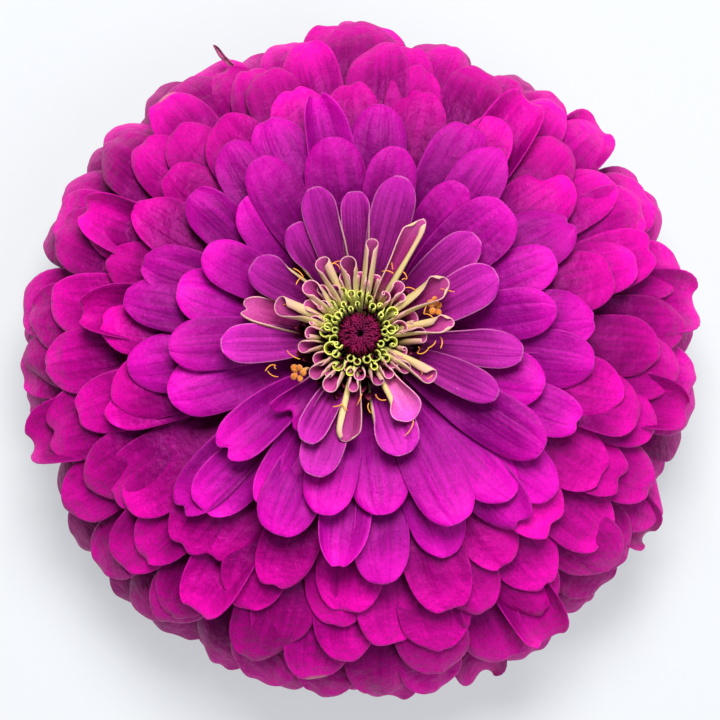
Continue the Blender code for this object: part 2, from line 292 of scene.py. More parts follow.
@dataclass(frozen=True)
class PetalFinish:
    """The face of a ray floret: velvety and streaked lengthwise, its base darkened partly with
    painted shade, painted shade in its grooves, and a paler rim that is partly painted sheen.

    Attributes:
        name: the material's name.
        face: the colour of the outer part of the blade.
        base: the colour of its lower part, darker than the face partly as painted shade where the
            florets above overlap it.
        deep: the colour of its darker streaks, and of the painted shade in its grooves.
        claw: the colour of its foot.
        rim: the colour of its edge, paler partly as a painted velvet sheen.
        claw_end: how far along the foot's colour has faded out, as a share of the length.
        rim_sheen_strength: how much of the rim's colour shows.
        streaks: how strongly the streaks show.
        gloss: the tint of its faint gloss.
        crepe: how crumpled its surface is.
    """

    name: str
    face: Colour
    base: Colour
    deep: Colour
    claw: Colour
    rim: Colour
    claw_end: float = 0.30
    rim_sheen_strength: float = 0.5
    streaks: float = 0.6
    gloss: Colour = (1.0, 0.14, 0.72)
    crepe: float = 0.0

    def make(self) -> bpy.types.Material:
        """Builds the material.

        Returns:
            The material.
        """
        graph = Graph(self.name)
        tone = graph.attribute("tone")
        shift = graph.math("MULTIPLY", tone, 37.0)
        uv = graph.coordinates("UV")
        place = graph.coordinates("Object")
        parts = graph.node("ShaderNodeSeparateXYZ", in_0=uv)
        across = graph.math("ABSOLUTE", graph.math("MULTIPLY_ADD", parts.outputs[0], 2.0, -1.0))
        along = parts.outputs[1]
        coarse = graph.noise(graph.stretched(uv, (8.0, 0.8, 1.0)), 1.0, 3.0, shift)
        fine = graph.noise(graph.stretched(uv, (34.0, 1.6, 1.0)), 1.0, 2.0, shift)
        patch = graph.noise(place, 110.0, 3.0, shift)
        # The blade darkens towards its base, partly its own colour and partly painted shade where
        # the florets above overlap it; streaks and two grooves run along it, and the grooves are
        # darkened with painted shade.
        wander = graph.math("MULTIPLY_ADD", patch, 0.34, along)
        colour = graph.blend(graph.band(wander, 0.68, 1.14), self.base, self.face)
        lines = graph.math("MULTIPLY_ADD", fine, 0.32, graph.math("MULTIPLY", coarse, 0.68))
        streak = graph.band(lines, 0.38, 0.62, self.streaks, 0.0)
        groove = graph.math("ABSOLUTE", graph.math("SUBTRACT", across, GROOVE_AT))
        groove = graph.math("MINIMUM", groove, graph.math("MULTIPLY", across, 0.8))
        groove = graph.math("MULTIPLY_ADD", fine, 0.10, groove)
        groove = graph.band(groove, 0.04, 0.15, self.streaks, 0.0)
        fading = graph.band(wander, 0.86, 1.10, 1.0, 0.12)
        drawn = graph.math("MULTIPLY", graph.math("MAXIMUM", streak, groove), fading)
        colour = graph.blend(drawn, colour, self.deep)
        # The claw has a colour of its own; the rim and the end are paler, partly as a painted
        # velvet sheen.
        frayed = graph.math("MULTIPLY_ADD", fine, 0.14, along)
        foot = graph.band(frayed, 0.08, self.claw_end + 0.10, 1.0, 0.0)
        colour = graph.blend(foot, colour, self.claw)
        side = graph.band(across, 0.91, 1.0)
        end = graph.band(along, 0.965, 1.0)
        edge = graph.math("MULTIPLY", graph.math("MAXIMUM", side, end), self.rim_sheen_strength)
        colour = graph.blend(edge, colour, self.rim)
        # Pale specks all over, and a tip that is worn brown here and there.
        speck = graph.band(graph.noise(place, 1500.0, 2.0), 0.68, 0.80, 0.0, 0.25)
        colour = graph.blend(speck, colour, self.rim)
        worn = graph.band(graph.noise(place, 85.0, 1.0), 0.68, 0.72)
        worn = graph.math("MULTIPLY", worn, graph.band(along, 0.93, 0.985, 0.0, 0.7))
        colour = graph.blend(worn, colour, (0.52, 0.30, 0.26))
        # A velvet grain, and a shade that each floret has for itself, which on the upper florets
        # also carries painted light, brighter on the -Y side.
        velvet = graph.band(graph.noise(place, 2600.0, 2.0), 0.32, 0.68, 0.84, 1.08)
        shade = graph.math("MULTIPLY", velvet, graph.band(tone, 0.0, 1.0, 0.72, 1.14))
        grey = graph.node("ShaderNodeCombineColor", Red=shade, Green=shade, Blue=shade)
        colour = graph.blend(1.0, colour, grey.outputs[0], "MULTIPLY")
        # The relief: grain, streaks, grooves and a crumple.
        grain = graph.noise(place, 5200.0, 1.0)
        relief = graph.math("MULTIPLY_ADD", grain, 0.30, graph.math("MULTIPLY", lines, 0.7))
        relief = graph.math("MULTIPLY_ADD", groove, -0.35, relief)
        crumple = graph.noise(place, 300.0, 3.0, shift)
        relief = graph.math("MULTIPLY_ADD", crumple, self.crepe, relief)
        graph.bump(relief, 0.22 * MM, 0.8)
        rough = graph.band(patch, 0.2, 0.8, 0.40, 0.54)
        return graph.finish(colour, rough, Specular_IOR_Level=0.36, Specular_Tint=self.gloss)


@dataclass(frozen=True)
class UndersideFinish:
    """The back of a floret: duller and paler than its face, with raised veins.

    Attributes:
        name: the material's name.
        blade: the colour of most of the back.
        vein: the colour of its veins and foot.
        end: the colour near its tip.
    """

    name: str
    blade: Colour
    vein: Colour
    end: Colour

    def make(self) -> bpy.types.Material:
        """Builds the material.

        Returns:
            The material.
        """
        graph = Graph(self.name)
        shift = graph.math("MULTIPLY", graph.attribute("tone"), 23.0)
        uv = graph.coordinates("UV")
        place = graph.coordinates("Object")
        along = graph.node("ShaderNodeSeparateXYZ", in_0=uv).outputs[1]
        vein = graph.noise(graph.stretched(uv, (16.0, 0.7, 1.0)), 1.0, 3.0, shift)
        colour = graph.blend(graph.band(along, 0.45, 1.0), self.blade, self.end)
        colour = graph.blend(graph.band(vein, 0.50, 0.72, 0.0, 0.8), colour, self.vein)
        colour = graph.blend(graph.band(along, 0.10, 0.40, 1.0, 0.0), colour, self.vein)
        mottle = graph.noise(place, 700.0, 2.0)
        grain = graph.noise(place, 4200.0, 1.0)
        graph.bump(graph.math("ADD", vein, graph.math("MULTIPLY", grain, 0.3)), 0.2 * MM, 0.8)
        return graph.finish(
            colour, graph.band(mottle, 0.2, 0.8, 0.55, 0.75), Sheen_Weight=0.10,
            Sheen_Roughness=0.5, Specular_IOR_Level=0.22,
        )


@dataclass(frozen=True)
class PlantFinish:
    """A mottled plant surface with a fine grain, for bracts, stalk, chaff and disc florets.

    Attributes:
        name: the material's name.
        light: its paler colour.
        dark: its darker colour.
        tip: the colour at the far end of a blade, where the piece has a UV map.
        tip_from: where along the blade that colour starts, past 1 for never.
        scale: how many mottles fit in a metre.
        roughness: its roughness.
        sheen: its fuzz, from 0 to 1.
        relief: the depth of its grain.
        gloss: how much it reflects.
    """

    name: str
    light: Colour
    dark: Colour
    tip: Colour = (0.0, 0.0, 0.0)
    tip_from: float = 2.0
    scale: float = 420.0
    roughness: float = 0.6
    sheen: float = 0.1
    relief: float = 0.12 * MM
    gloss: float = 0.35

    def make(self) -> bpy.types.Material:
        """Builds the material.

        Returns:
            The material.
        """
        graph = Graph(self.name)
        place = graph.coordinates("Object")
        mottle = graph.noise(place, self.scale, 3.0, 0.0, 0.6)
        fine = graph.noise(place, 6.0 * self.scale, 2.0)
        colour = graph.blend(graph.band(mottle, 0.32, 0.70), self.dark, self.light)
        if self.tip_from < 1.0:
            along = graph.node("ShaderNodeSeparateXYZ", in_0=graph.coordinates("UV")).outputs[1]
            colour = graph.blend(graph.band(along, self.tip_from, 1.0), colour, self.tip)
        graph.bump(graph.math("ADD", mottle, graph.math("MULTIPLY", fine, 0.5)), self.relief, 0.9)
        rough = graph.band(fine, 0.2, 0.8, self.roughness - 0.08, self.roughness + 0.08)
        return graph.finish(colour, rough, Sheen_Weight=self.sheen, Specular_IOR_Level=self.gloss)


class Finish(Enum):
    """Every finish on the flower."""

    # In each petal face the base colour is partly painted shade from the florets above, the deep
    # colour serves the streaks and the painted shade in the grooves, and the rim colour is partly
    # painted sheen.
    OUTER_FACE = PetalFinish(
        "outer_petal_face", (0.70, 0.002, 0.35), (0.17, 0.0005, 0.105), (0.10, 0.0003, 0.055),
        (0.22, 0.006, 0.10), (0.80, 0.02, 0.44), 0.24, 0.35, 0.42, crepe=5.5,
    )
    MIDDLE_FACE = PetalFinish(
        "middle_petal_face", (0.58, 0.003, 0.37), (0.23, 0.002, 0.18), (0.10, 0.0008, 0.075),
        (0.30, 0.02, 0.20), (0.74, 0.04, 0.52), 0.26, 0.40, 0.52, crepe=3.6,
    )
    VIOLET_FACE = PetalFinish(
        "violet_petal_face", (0.46, 0.012, 0.34), (0.34, 0.018, 0.25), (0.13, 0.002, 0.10),
        (0.42, 0.12, 0.22), (0.76, 0.24, 0.55), 0.30, 0.55, 0.7, crepe=1.6,
    )
    YOUNG_FACE = PetalFinish(
        "young_petal_face", (0.46, 0.060, 0.26), (0.30, 0.022, 0.15), (0.18, 0.008, 0.08),
        (0.36, 0.32, 0.07), (0.82, 0.50, 0.46), 0.35, 0.8, 0.5,
    )
    PALE_FACE = PetalFinish(
        "pale_petal_face", (0.60, 0.07, 0.42), (0.62, 0.14, 0.38), (0.40, 0.03, 0.24),
        (0.50, 0.36, 0.20), (0.80, 0.34, 0.58), 0.30, 0.6, 0.5,
    )
    QUILL_FACE = PetalFinish(
        "quill_inside", (0.40, 0.43, 0.02), (0.14, 0.13, 0.006), (0.08, 0.06, 0.003),
        (0.08, 0.08, 0.004), (0.76, 0.78, 0.22), 0.5, 0.95, 0.4, (1.0, 0.95, 0.3),
    )
    OUTER_BACK = UndersideFinish(
        "outer_petal_back", (0.56, 0.05, 0.32), (0.42, 0.09, 0.20), (0.70, 0.04, 0.40)
    )
    INNER_BACK = UndersideFinish(
        "inner_petal_back", (0.60, 0.47, 0.20), (0.46, 0.46, 0.10), (0.70, 0.40, 0.32)
    )
    LIPPED_BACK = UndersideFinish(
        "lipped_quill_back", (0.52, 0.38, 0.15), (0.38, 0.42, 0.06), (0.72, 0.36, 0.36)
    )
    QUILL_BACK = UndersideFinish(
        "quill_outside", (0.44, 0.52, 0.018), (0.28, 0.38, 0.008), (0.76, 0.80, 0.20)
    )
    BRACT = PlantFinish(
        "bract_green", (0.14, 0.26, 0.045), (0.06, 0.13, 0.02), (0.03, 0.02, 0.012), 0.88
    )
    STALK = PlantFinish("stalk_green", (0.20, 0.32, 0.07), (0.10, 0.19, 0.035), scale=260.0)
    STALK_CUT = PlantFinish("stalk_cut", (0.62, 0.66, 0.38), (0.42, 0.50, 0.20), scale=900.0)
    CHAFF = PlantFinish(
        "crimson_chaff", (0.20, 0.002, 0.055), (0.06, 0.0004, 0.014), (0.46, 0.03, 0.18), 0.55,
        900.0, 0.7, 0.0, gloss=0.10,
    )
    DARK_CHAFF = PlantFinish(
        "dark_chaff", (0.085, 0.002, 0.022), (0.030, 0.0006, 0.008), (0.24, 0.02, 0.07), 0.85,
        900.0, 0.7, 0.0, gloss=0.10,
    )
    STAR = PlantFinish(
        "orange_corolla", (0.84, 0.29, 0.006), (0.60, 0.13, 0.003), (0.90, 0.42, 0.02), 0.6,
        2400.0, 0.7, 0.3, 0.35 * MM,
    )
    STYLE = PlantFinish(
        "style_thread", (0.92, 0.40, 0.02), (0.80, 0.22, 0.01), scale=1200.0, sheen=0.3
    )
    DRIED = PlantFinish("dried_tip", (0.40, 0.06, 0.20), (0.16, 0.02, 0.07), scale=900.0)


class Palette:
    """Makes each finish once."""

    def __init__(self) -> None:
        """Starts with nothing made."""
        self.made: dict[Finish, bpy.types.Material] = {}

    def get(self, finish: Finish) -> bpy.types.Material:
        """Looks a finish up, and makes it the first time.

        Args:
            finish: the finish.

        Returns:
            Its material.
        """
        if finish not in self.made:
            self.made[finish] = finish.value.make()
        return self.made[finish]


PALETTE = Palette()


# --- Blades ---


def with_painted_side_light(tone: float, bearing: float, share: float) -> float:
    """Returns the tone made brighter on the -Y side of the head, as painted light."""
    return min(max(tone - share * math.sin(math.radians(bearing)), 0.0), 1.0)


@dataclass(frozen=True)
class ArchingLine:
    """A midrib, in the upright plane through the axis, as radius and height.

    Attributes:
        claw: where it starts.
        rise: how steeply it starts, in degrees above level.
        tip: where it ends.
        droop: how steeply it ends, in degrees below level.
        curl: how far its last stretch turns down.
        pull: how far the two ends' directions reach, as shares of the chord.
    """

    claw: Point2
    rise: float
    tip: Point2
    droop: float
    curl: float = 0.0
    pull: Point2 = (0.42, 0.36)

    def at(self, share: float) -> Point2:
        """Finds a point of the line.

        Args:
            share: how far along it is, from 0 at the claw to 1 at the tip.

        Returns:
            Its radius and height.
        """
        chord = math.dist(self.claw, self.tip)
        start, end = math.radians(self.rise), math.radians(-self.droop)
        reach, back = self.pull[0] * chord, self.pull[1] * chord
        first = (self.claw[0] + reach * math.cos(start), self.claw[1] + reach * math.sin(start))
        second = (self.tip[0] - back * math.cos(end), self.tip[1] - back * math.sin(end))
        rest = 1.0 - share
        weights = (rest**3, 3 * rest**2 * share, 3 * rest * share**2, share**3)
        points = (self.claw, first, second, self.tip)
        radius, height = (sum(w * p[i] for w, p in zip(weights, points)) for i in (0, 1))
        past = max(share - CURL_FROM, 0.0) / (1.0 - CURL_FROM)
        return radius, height - self.curl * past**2


@dataclass(frozen=True)
class Section:
    """How a blade is bent across, in degrees from edge to edge: plus is edges up, minus down.

    Attributes:
        claw: the bend at the foot.
        middle: the bend halfway.
        tip: the bend at the end.
        left: how far the edge at the higher bearing is rolled over as well, in degrees.
        right: the same for the other edge.
        unrolled: where along the blade those rolled edges have opened out again.
        margin: where the rolled edges start, as a share of the half width.
    """

    claw: float = 150.0
    middle: float = -12.0
    tip: float = -40.0
    left: float = 0.0
    right: float = 0.0
    unrolled: float = 0.95
    margin: float = 0.60

    def bend(self, share: float) -> float:
        """Finds how far the blade is bent across at one place.

        Args:
            share: how far along the blade it is.

        Returns:
            The bend from edge to edge, in radians.
        """
        if share < MIDDLE_AT:
            return math.radians(mix(self.claw, self.middle, smooth(share / MIDDLE_AT)))
        past = smooth((share - MIDDLE_AT) / (1.0 - MIDDLE_AT))
        return math.radians(mix(self.middle, self.tip, past))

    def point(self, side: float, share: float, half: float) -> tuple[float, float, float]:
        """Follows the cross-section from its middle out to a point.

        Args:
            side: from -1 at one edge to 1 at the other.
            share: how far along the blade.
            half: half the blade's width there.

        Returns:
            How far across and how far up the point is, and which way the blade runs there.
        """
        steps, ease = 14, 0.15
        bend = self.bend(share)
        rolled = math.radians(self.left if side > 0.0 else self.right)
        rolled *= smooth(share / ease) * (1.0 - smooth((share - self.unrolled + ease) / ease))
        across = up = angle = 0.0
        for step in range(steps):
            out = side * (step + 0.5) / steps
            past = max(abs(out) - self.margin, 0.0) / (1.0 - self.margin)
            angle = 0.5 * out * bend + math.copysign(rolled * smooth(1.2 * past), side)
            across += math.cos(angle) * side * half / steps
            up += math.sin(angle) * side * half / steps
        return across, up, angle


@dataclass
class Blade:
    """A ray floret or any other leaf-like blade.

    Attributes:
        bearing: direction from the axis, in degrees.
        line: its midrib.
        width: its greatest width.
        claw_width: the width of its foot.
        section: how it is bent across.
        lean: how far its tip turns round the axis, in degrees.
        roll: how far its tip is turned about the midrib, in degrees.
        widest: where along it is widest.
        taper: how narrow it stays on the way there.
        open_end: whether it ends as wide as it is, as a rolled floret's mouth does.
        blunt: how blunt its end is, from 0 for round to 1 for square.
        slant: how much further its middle reaches than its edges, as a share of its length.
        notch: how deep the notch in its end is, as a share of its length.
        grooves: the depth of its two lengthwise grooves.
        ripple: how far its edges wave up and down.
        tone: a number from 0 to 1 that sets its shade and its streaks; on the upper florets it also
            carries painted light, brighter on the -Y side.
        phase: where its waves start, in radians.
        crowding: how much closer its rows of faces stand towards the end.
    """

    bearing: float
    line: ArchingLine
    width: float
    claw_width: float = 1.6 * MM
    section: Section = field(default_factory=Section)
    lean: float = 0.0
    roll: float = 0.0
    widest: float = 0.80
    taper: float = 1.35
    open_end: bool = False
    blunt: float = 0.45
    slant: float = 0.035
    notch: float = 0.0
    grooves: float = 0.22 * MM
    ripple: float = 0.0
    tone: float = 0.5
    phase: float = 0.0
    crowding: float = 1.5

    def half_width(self, share: float) -> float:
        """Finds how wide the blade is at one place.

        Args:
            share: how far along the blade it is.

        Returns:
            Half its width there.
        """
        grown = math.sin(0.5 * math.pi * min(share / self.widest, 1.0)) ** self.taper
        half = 0.5 * mix(self.claw_width, self.width, grown)
        if self.open_end:
            return half
        past = max(share - self.widest, 0.0) / (1.0 - self.widest)
        return half * (1.0 - (mix(0.97, 0.88, self.blunt) * past) ** 2.6) ** 0.50

    def surface(self, side: float, share: float) -> Vector:
        """Finds a point of the blade.

        Args:
            side: from -1 at one edge to 1 at the other.
            share: from 0 at the foot to 1 at the end.

        Returns:
            The point.
        """
        end_from, notch_width = 0.55 if self.open_end else 0.84, 0.3
        past = smooth((share - end_from) / (1.0 - end_from))
        notch = self.notch * math.exp(-((side / notch_width) ** 2))
        share_in = share - past * (self.slant * side * side + notch)
        across, up, angle = self.section.point(side, share, self.half_width(share))
        lift = self.relief(side, share, past)
        across -= lift * math.sin(angle)
        up += lift * math.cos(angle)
        turn = math.radians(self.roll) * smooth(share)
        across, up = (
            across * math.cos(turn) - up * math.sin(turn),
            across * math.sin(turn) + up * math.cos(turn),
        )
        return self.midrib(share_in) + self.frame_at(share_in) @ Vector((across, up, 0.0))

    def relief(self, side: float, share: float, past: float) -> float:
        """Finds how far its grooves and its waves lift a point off the smooth blade.

        Args:
            side: from -1 at one edge to 1 at the other.
            share: from 0 at the foot to 1 at the end.
            past: how far the point lies into the end's slant, from 0 to 1.

        Returns:
            The lift, which is below 0 in a groove.
        """
        groove_width, opened = 0.17, smooth((share - 0.15) / 0.3)
        dip = math.exp(-(((abs(side) - GROOVE_AT) / groove_width) ** 2)) * (1.0 - 0.6 * past)
        wave = side * side * math.sin(self.phase + 7.0 * share + 1.4 * side)
        wave += 0.45 * math.sin(1.7 * self.phase + 10.0 * share - 3.0 * side) * smooth(1.6 * share)
        return opened * (self.ripple * wave - self.grooves * dip)

    def midrib(self, share: float) -> Vector:
        """Finds a point of the midrib.

        Args:
            share: how far along the blade it is.

        Returns:
            The point.
        """
        radius, height = self.line.at(share)
        point = around(self.bearing + self.lean * smooth(share)) * radius
        return point + Vector((0.0, 0.0, height))

    def frame_at(self, share: float) -> Matrix:
        """Finds how the blade lies at one place.

        Args:
            share: how far along the blade it is.

        Returns:
            The matrix whose columns are across, up and along the blade there.
        """
        step = 0.01
        low, high = max(share - step, 0.0), min(share + step, 1.0)
        along = (self.midrib(high) - self.midrib(low)).normalized()
        out = around(self.bearing + self.lean * smooth(share))
        level = Vector((-out.y, out.x, 0.0))
        across = (level - along * level.dot(along)).normalized()
        return Matrix((across, along.cross(across), along)).transposed()

    def add_to(self, bm: bmesh.types.BMesh, columns: int = 6, rows: int = 9) -> None:
        """Adds the blade to a mesh, as an open grid with its face up.

        Args:
            bm: the mesh.
            columns: faces across.
            rows: faces along.
        """
        tone = bm.verts.layers.float["tone"]
        grid = bmesh.ops.create_grid(
            bm, x_segments=columns, y_segments=rows, size=0.5, calc_uvs=True
        )
        for vertex in grid["verts"]:
            side = -2.0 * vertex.co.x
            share = 1.0 - (0.5 - vertex.co.y) ** self.crowding
            vertex.co = self.surface(side, share)
            vertex[tone] = self.tone


def new_mesh() -> bmesh.types.BMesh:
    """Starts a mesh with a UV map and a tone.

    Returns:
        The mesh, still empty.
    """
    bm = bmesh.new()
    bm.loops.layers.uv.new("UVMap")
    bm.verts.layers.float.new("tone")
    return bm


@dataclass
class Piece:
    """A finished piece of the flower.

    Attributes:
        name: its name.
        bm: its mesh, which is used up.
        finishes: its face's finish and, where it has a wall, its back's.
        slot: the record's material slot, which is not used.
        stands_for: the CAD nodes that it replaces.
        wall: the thickness given to an open surface, or 0 for a solid.
        levels: levels of subdivision.
    """

    name: str
    bm: bmesh.types.BMesh
    finishes: Sequence[Finish]
    slot: str
    stands_for: Sequence[str] = ()
    wall: float = 0.30 * MM
    levels: int = 1

    def place(self) -> bpy.types.Object:
        """Makes the object, dresses it and gives it to the frame.

        Returns:
            The object.
        """
        for face in self.bm.faces:
            face.smooth = True
        mesh = bpy.data.meshes.new(self.name)
        self.bm.to_mesh(mesh)
        self.bm.free()
        for finish in self.finishes:
            mesh.materials.append(PALETTE.get(finish))
        piece = bpy.data.objects.new(self.name, mesh)
        bpy.context.scene.collection.objects.link(piece)
        if self.wall:
            shell = piece.modifiers.new("wall", "SOLIDIFY")
            shell.thickness = self.wall
            shell.offset = -1.0
            shell.material_offset = len(self.finishes) - 1
        if self.levels:
            fine = piece.modifiers.new("fine", "SUBSURF")
            fine.levels = self.levels
            fine.render_levels = self.levels
        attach(piece, "root")
        if self.stands_for:
            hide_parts(*self.stands_for)
        LOG.info("made %s for %s", self.name, ", ".join(self.stands_for) or "the looks")
        return piece


# --- The dome of ray florets ---


@dataclass
class LowerWhorls:
    """The eight lower whorls: six as one long spiral of florets cut into whorls, two listed floret
    by floret.

    Attributes:
        dome: where the tips go.
        lowest: degrees round the dome of the lowest tip.
        highest: the same for the highest of the spiral.
        foot: radius and height of the lowest claw.
        shoulder: the same for the highest.
        florets: how many florets the spiral has.
        outer_width: the width of the lowest floret.
        inner_width: the width of the spiral's highest.
        spiral_whorls: how many whorls the spiral is cut into.
        step: how much lower every other floret of the two upper whorls lies.
        steepest: the steepest way that a floret may end, in degrees below level.
        clearance: how far above the ground every tip stays.
        cupped: the share of the florets that are cupped, with a rim that turns up.
        cup: a cupped floret's bends halfway and at its end, in degrees, and its curl.
        chance: the source of small irregularities.
        oddity: the source that picks the cupped florets.
    """

    dome: Dome
    lowest: float = 122.0
    highest: float = 57.0
    foot: Point2 = (10.0 * MM, 13.2 * MM)
    shoulder: Point2 = (7.2 * MM, 25.6 * MM)
    florets: int = 162
    outer_width: float = 12.6 * MM
    inner_width: float = 11.2 * MM
    spiral_whorls: int = 6
    step: float = 0.9 * MM
    steepest: float = 82.0
    clearance: float = 0.35 * MM
    cupped: float = 0.09
    cup: tuple[float, float, float] = (50.0, 110.0, -1.2 * MM)
    chance: random.Random = draws(11)
    oddity: random.Random = draws(29)

    def outline(self, bearing: float) -> float:
        """Finds how far out the head reaches in one direction.

        Args:
            bearing: the direction.

        Returns:
            The reach, as a share of the dome's radius.
        """
        held = bearing % 360.0
        for (first, low), (last, high) in zip(OUTLINE, OUTLINE[1:]):
            if held <= last:
                return mix(low, high, (held - first) / (last - first))
        return 1.0

    def floret(
        self, bearing: float, degrees: float, claw: Point2, rise: float, width: float,
        sink: float = 0.0, lift: float = 0.0,
    ) -> Blade:
        """Makes one floret.

        Args:
            bearing: its direction from the axis.
            degrees: where on the dome its tip is, from the top.
            claw: radius and height of its foot.
            rise: how steeply it starts.
            width: its width.
            sink: how far its tip lies below the dome.
            lift: how much flatter than its neighbours below it ends, in degrees; it also sets how
                strongly painted light brightens the -Y side.

        Returns:
            The blade.
        """
        chance = self.chance
        reach = mix(1.0, self.outline(bearing), smooth((degrees - 50.0) / 35.0))
        tip = self.dome.point(degrees)
        curl = chance.uniform(0.4, 1.6) * MM
        height = max(tip[1] - sink, curl + self.clearance)
        tip = (tip[0] * reach + chance.gauss(0.0, 0.3) * MM, height)
        droop = 0.74 * self.dome.slope(degrees) - lift + chance.gauss(0.0, 4.0)
        droop = min(droop, self.steepest)
        middle, end = chance.uniform(-26.0, 8.0), chance.uniform(-80.0, -24.0)
        if self.oddity.random() < self.cupped:
            middle, end, curl = self.cup
        line = ArchingLine(claw, rise, tip, droop, curl)
        section = Section(
            150.0, middle, end, chance.gauss(0.0, 26.0), chance.gauss(0.0, 26.0), 1.2
        )
        return Blade(
            bearing, line, width * chance.uniform(0.88, 1.10), section=section,
            lean=chance.gauss(0.0, 2.4), roll=chance.gauss(0.0, 7.0),
            widest=chance.uniform(0.78, 0.84), blunt=chance.uniform(0.1, 0.9),
            slant=chance.uniform(0.0, 0.03), notch=max(chance.gauss(0.006, 0.014), 0.0),
            grooves=chance.uniform(0.14, 0.36) * MM, ripple=chance.uniform(0.18, 0.85) * MM,
            # Painted light: the tone is raised on the -Y side, more for the flatter whorls.
            tone=with_painted_side_light(chance.uniform(0.0, 1.0), bearing, 0.03 * lift),
            phase=chance.uniform(0.0, 6.28),
        )

    def spiral(self, number: int) -> Blade:
        """Makes one floret of the spiral.

        Args:
            number: its place, counted from the lowest.

        Returns:
            The blade.
        """
        share = number / (self.florets - 1)
        degrees = mix(self.lowest, self.highest, share**0.88) + self.chance.gauss(0.0, 1.1)
        claw = tuple(mix(low, high, share) for low, high in zip(self.foot, self.shoulder))
        width = mix(self.outer_width, self.inner_width, share)
        bearing = GOLDEN_TURN * number + self.chance.gauss(0.0, 1.8)
        rise, sink = mix(-8.0, 30.0, share), 1.9 * share * MM
        return self.floret(bearing, degrees, claw, rise, width, sink)

    def build(self) -> None:
        """Makes the eight whorls."""
        blades = [self.spiral(number) for number in range(self.florets)]
        in_whorl = self.florets // self.spiral_whorls
        whorls = [blades[start:start + in_whorl] for start in range(0, self.florets, in_whorl)]
        for table, claw, rise, sink, lift in UPPER_WHORLS:
            whorls.append([
                self.floret(
                    bearing, self.dome.degrees_at(reach * MM), claw, rise, width * MM,
                    sink + self.step * (place % 2), lift,
                )
                for place, (bearing, reach, width) in enumerate(table)
            ])
        for number, whorl in enumerate(whorls, 1):
            bm = new_mesh()
            for blade in whorl:
                blade.add_to(bm)
            face = Finish.OUTER_FACE if number < 8 else Finish.MIDDLE_FACE
            Piece(
                f"ray_florets_{number}", bm, (face, Finish.OUTER_BACK), "magenta_ray",
                (f"ray_whorl_{number}",),
            ).place()


@dataclass(frozen=True)
class Habit:
    """How one floret of the upper rings grew.

    Attributes:
        section: how it is bent across.
        face: its face's finish.
        lean: how far its tip turns round the axis, in degrees.
        roll: how far it is turned about its midrib, in degrees.
        notch: how deep the notch in its end is.
        raised: how far its tip stands above its CAD node's.
    """

    section: Section = Section(170.0, 10.0, -22.0)
    face: Finish = Finish.VIOLET_FACE
    lean: float = 0.0
    roll: float = 0.0
    notch: float = 0.0
    raised: float = 0.0


@dataclass(frozen=True)
class Ring:
    """What the florets of one upper ring have in common.

    Attributes:
        face: their faces' finish.
        back: their backs' finish.
        claw: how their feet are bent across.
        middle: the least and the greatest bend across halfway.
        tip: the same at their ends.
        roll: how far they tend to be turned about their midribs, in degrees.
        rise: how steeply their claws stand.
    """

    face: Finish
    back: Finish
    claw: float
    middle: Point2
    tip: Point2
    roll: float
    rise: float

    def habit(self, chance: random.Random) -> Habit:
        """Returns the habit of a floret that has nothing special about it."""
        section = Section(self.claw, chance.uniform(*self.middle), chance.uniform(*self.tip))
        return Habit(section, self.face, chance.gauss(0.0, 1.6), chance.gauss(0.0, self.roll))


@dataclass
class UpperRings:
    """The two upper rings of open florets, each floret a piece of its own.

    Attributes:
        dome: where the tips go.
        lift: how much flatter than the dome the florets end, in degrees.
        chance: the source of small irregularities.
    """

    dome: Dome
    lift: float = 26.0
    chance: random.Random = draws(5)

    def build(self) -> None:
        """Makes both rings."""
        for kind, ring in RINGS.items():
            for node in sorted(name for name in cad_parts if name.startswith(kind)):
                plain = ring.habit(self.chance)
                self.floret(node, HABITS.get(node, plain), ring)

    def floret(self, node: str, habit: Habit, ring: Ring) -> None:
        """Makes one floret where its CAD node is.

        Args:
            node: the CAD node.
            habit: how it grew.
            ring: the ring that it is in.
        """
        chance = self.chance
        grown = growth_of(node)
        droop = 0.72 * self.dome.slope(self.dome.degrees_at(grown.tip[0])) - self.lift
        tip = (grown.tip[0], grown.tip[1] + habit.raised)
        line = ArchingLine(grown.claw, ring.rise, tip, droop, chance.uniform(0.3, 1.2) * MM)
        blade = Blade(
            grown.bearing, line, grown.width * chance.uniform(1.08, 1.18),
            section=habit.section, lean=habit.lean, roll=habit.roll, notch=habit.notch,
            widest=0.79, taper=1.3, slant=0.015, blunt=chance.uniform(0.3, 0.8),
            grooves=chance.uniform(0.20, 0.36) * MM, ripple=chance.uniform(0.05, 0.30) * MM,
            # Painted light: the tone is raised on the -Y side of the head.
            tone=with_painted_side_light(chance.uniform(0.15, 0.9), grown.bearing, 0.40),
            phase=chance.uniform(0.0, 6.28), crowding=1.3,
        )
        bm = new_mesh()
        blade.add_to(bm, 10, 11)
        name = node.replace("_ray_", "_floret_")
        Piece(name, bm, (habit.face, ring.back), "violet_ray", (node,)).place()


# --- The middle of the flower ---


@dataclass(frozen=True)
class Roll:
    """How one young floret is rolled up.

    Attributes:
        reach: how far its mouth's outer lip is from the axis, in millimetres.
        width: the width of its blade at the mouth, in millimetres.
        section: how it is rolled.
        slant: how far its mouth is cut back on the inner side.
        face: the finish of its inside.
        lean: how far its mouth turns round the axis, in degrees.
        up: how steeply it ends, in degrees above level.
        notch: how deep the notch in its lip is.
        closed_end: whether it narrows to a rounded tip.
        drop: how far below its CAD node's mouth it ends, in millimetres.
    """

    reach: float
    width: float
    section: Section
    slant: float = 0.20
    face: Finish = Finish.YOUNG_FACE
    lean: float = 0.0
    up: float = 25.0
    notch: float = 0.0
    closed_end: bool = False
    drop: float = 0.0


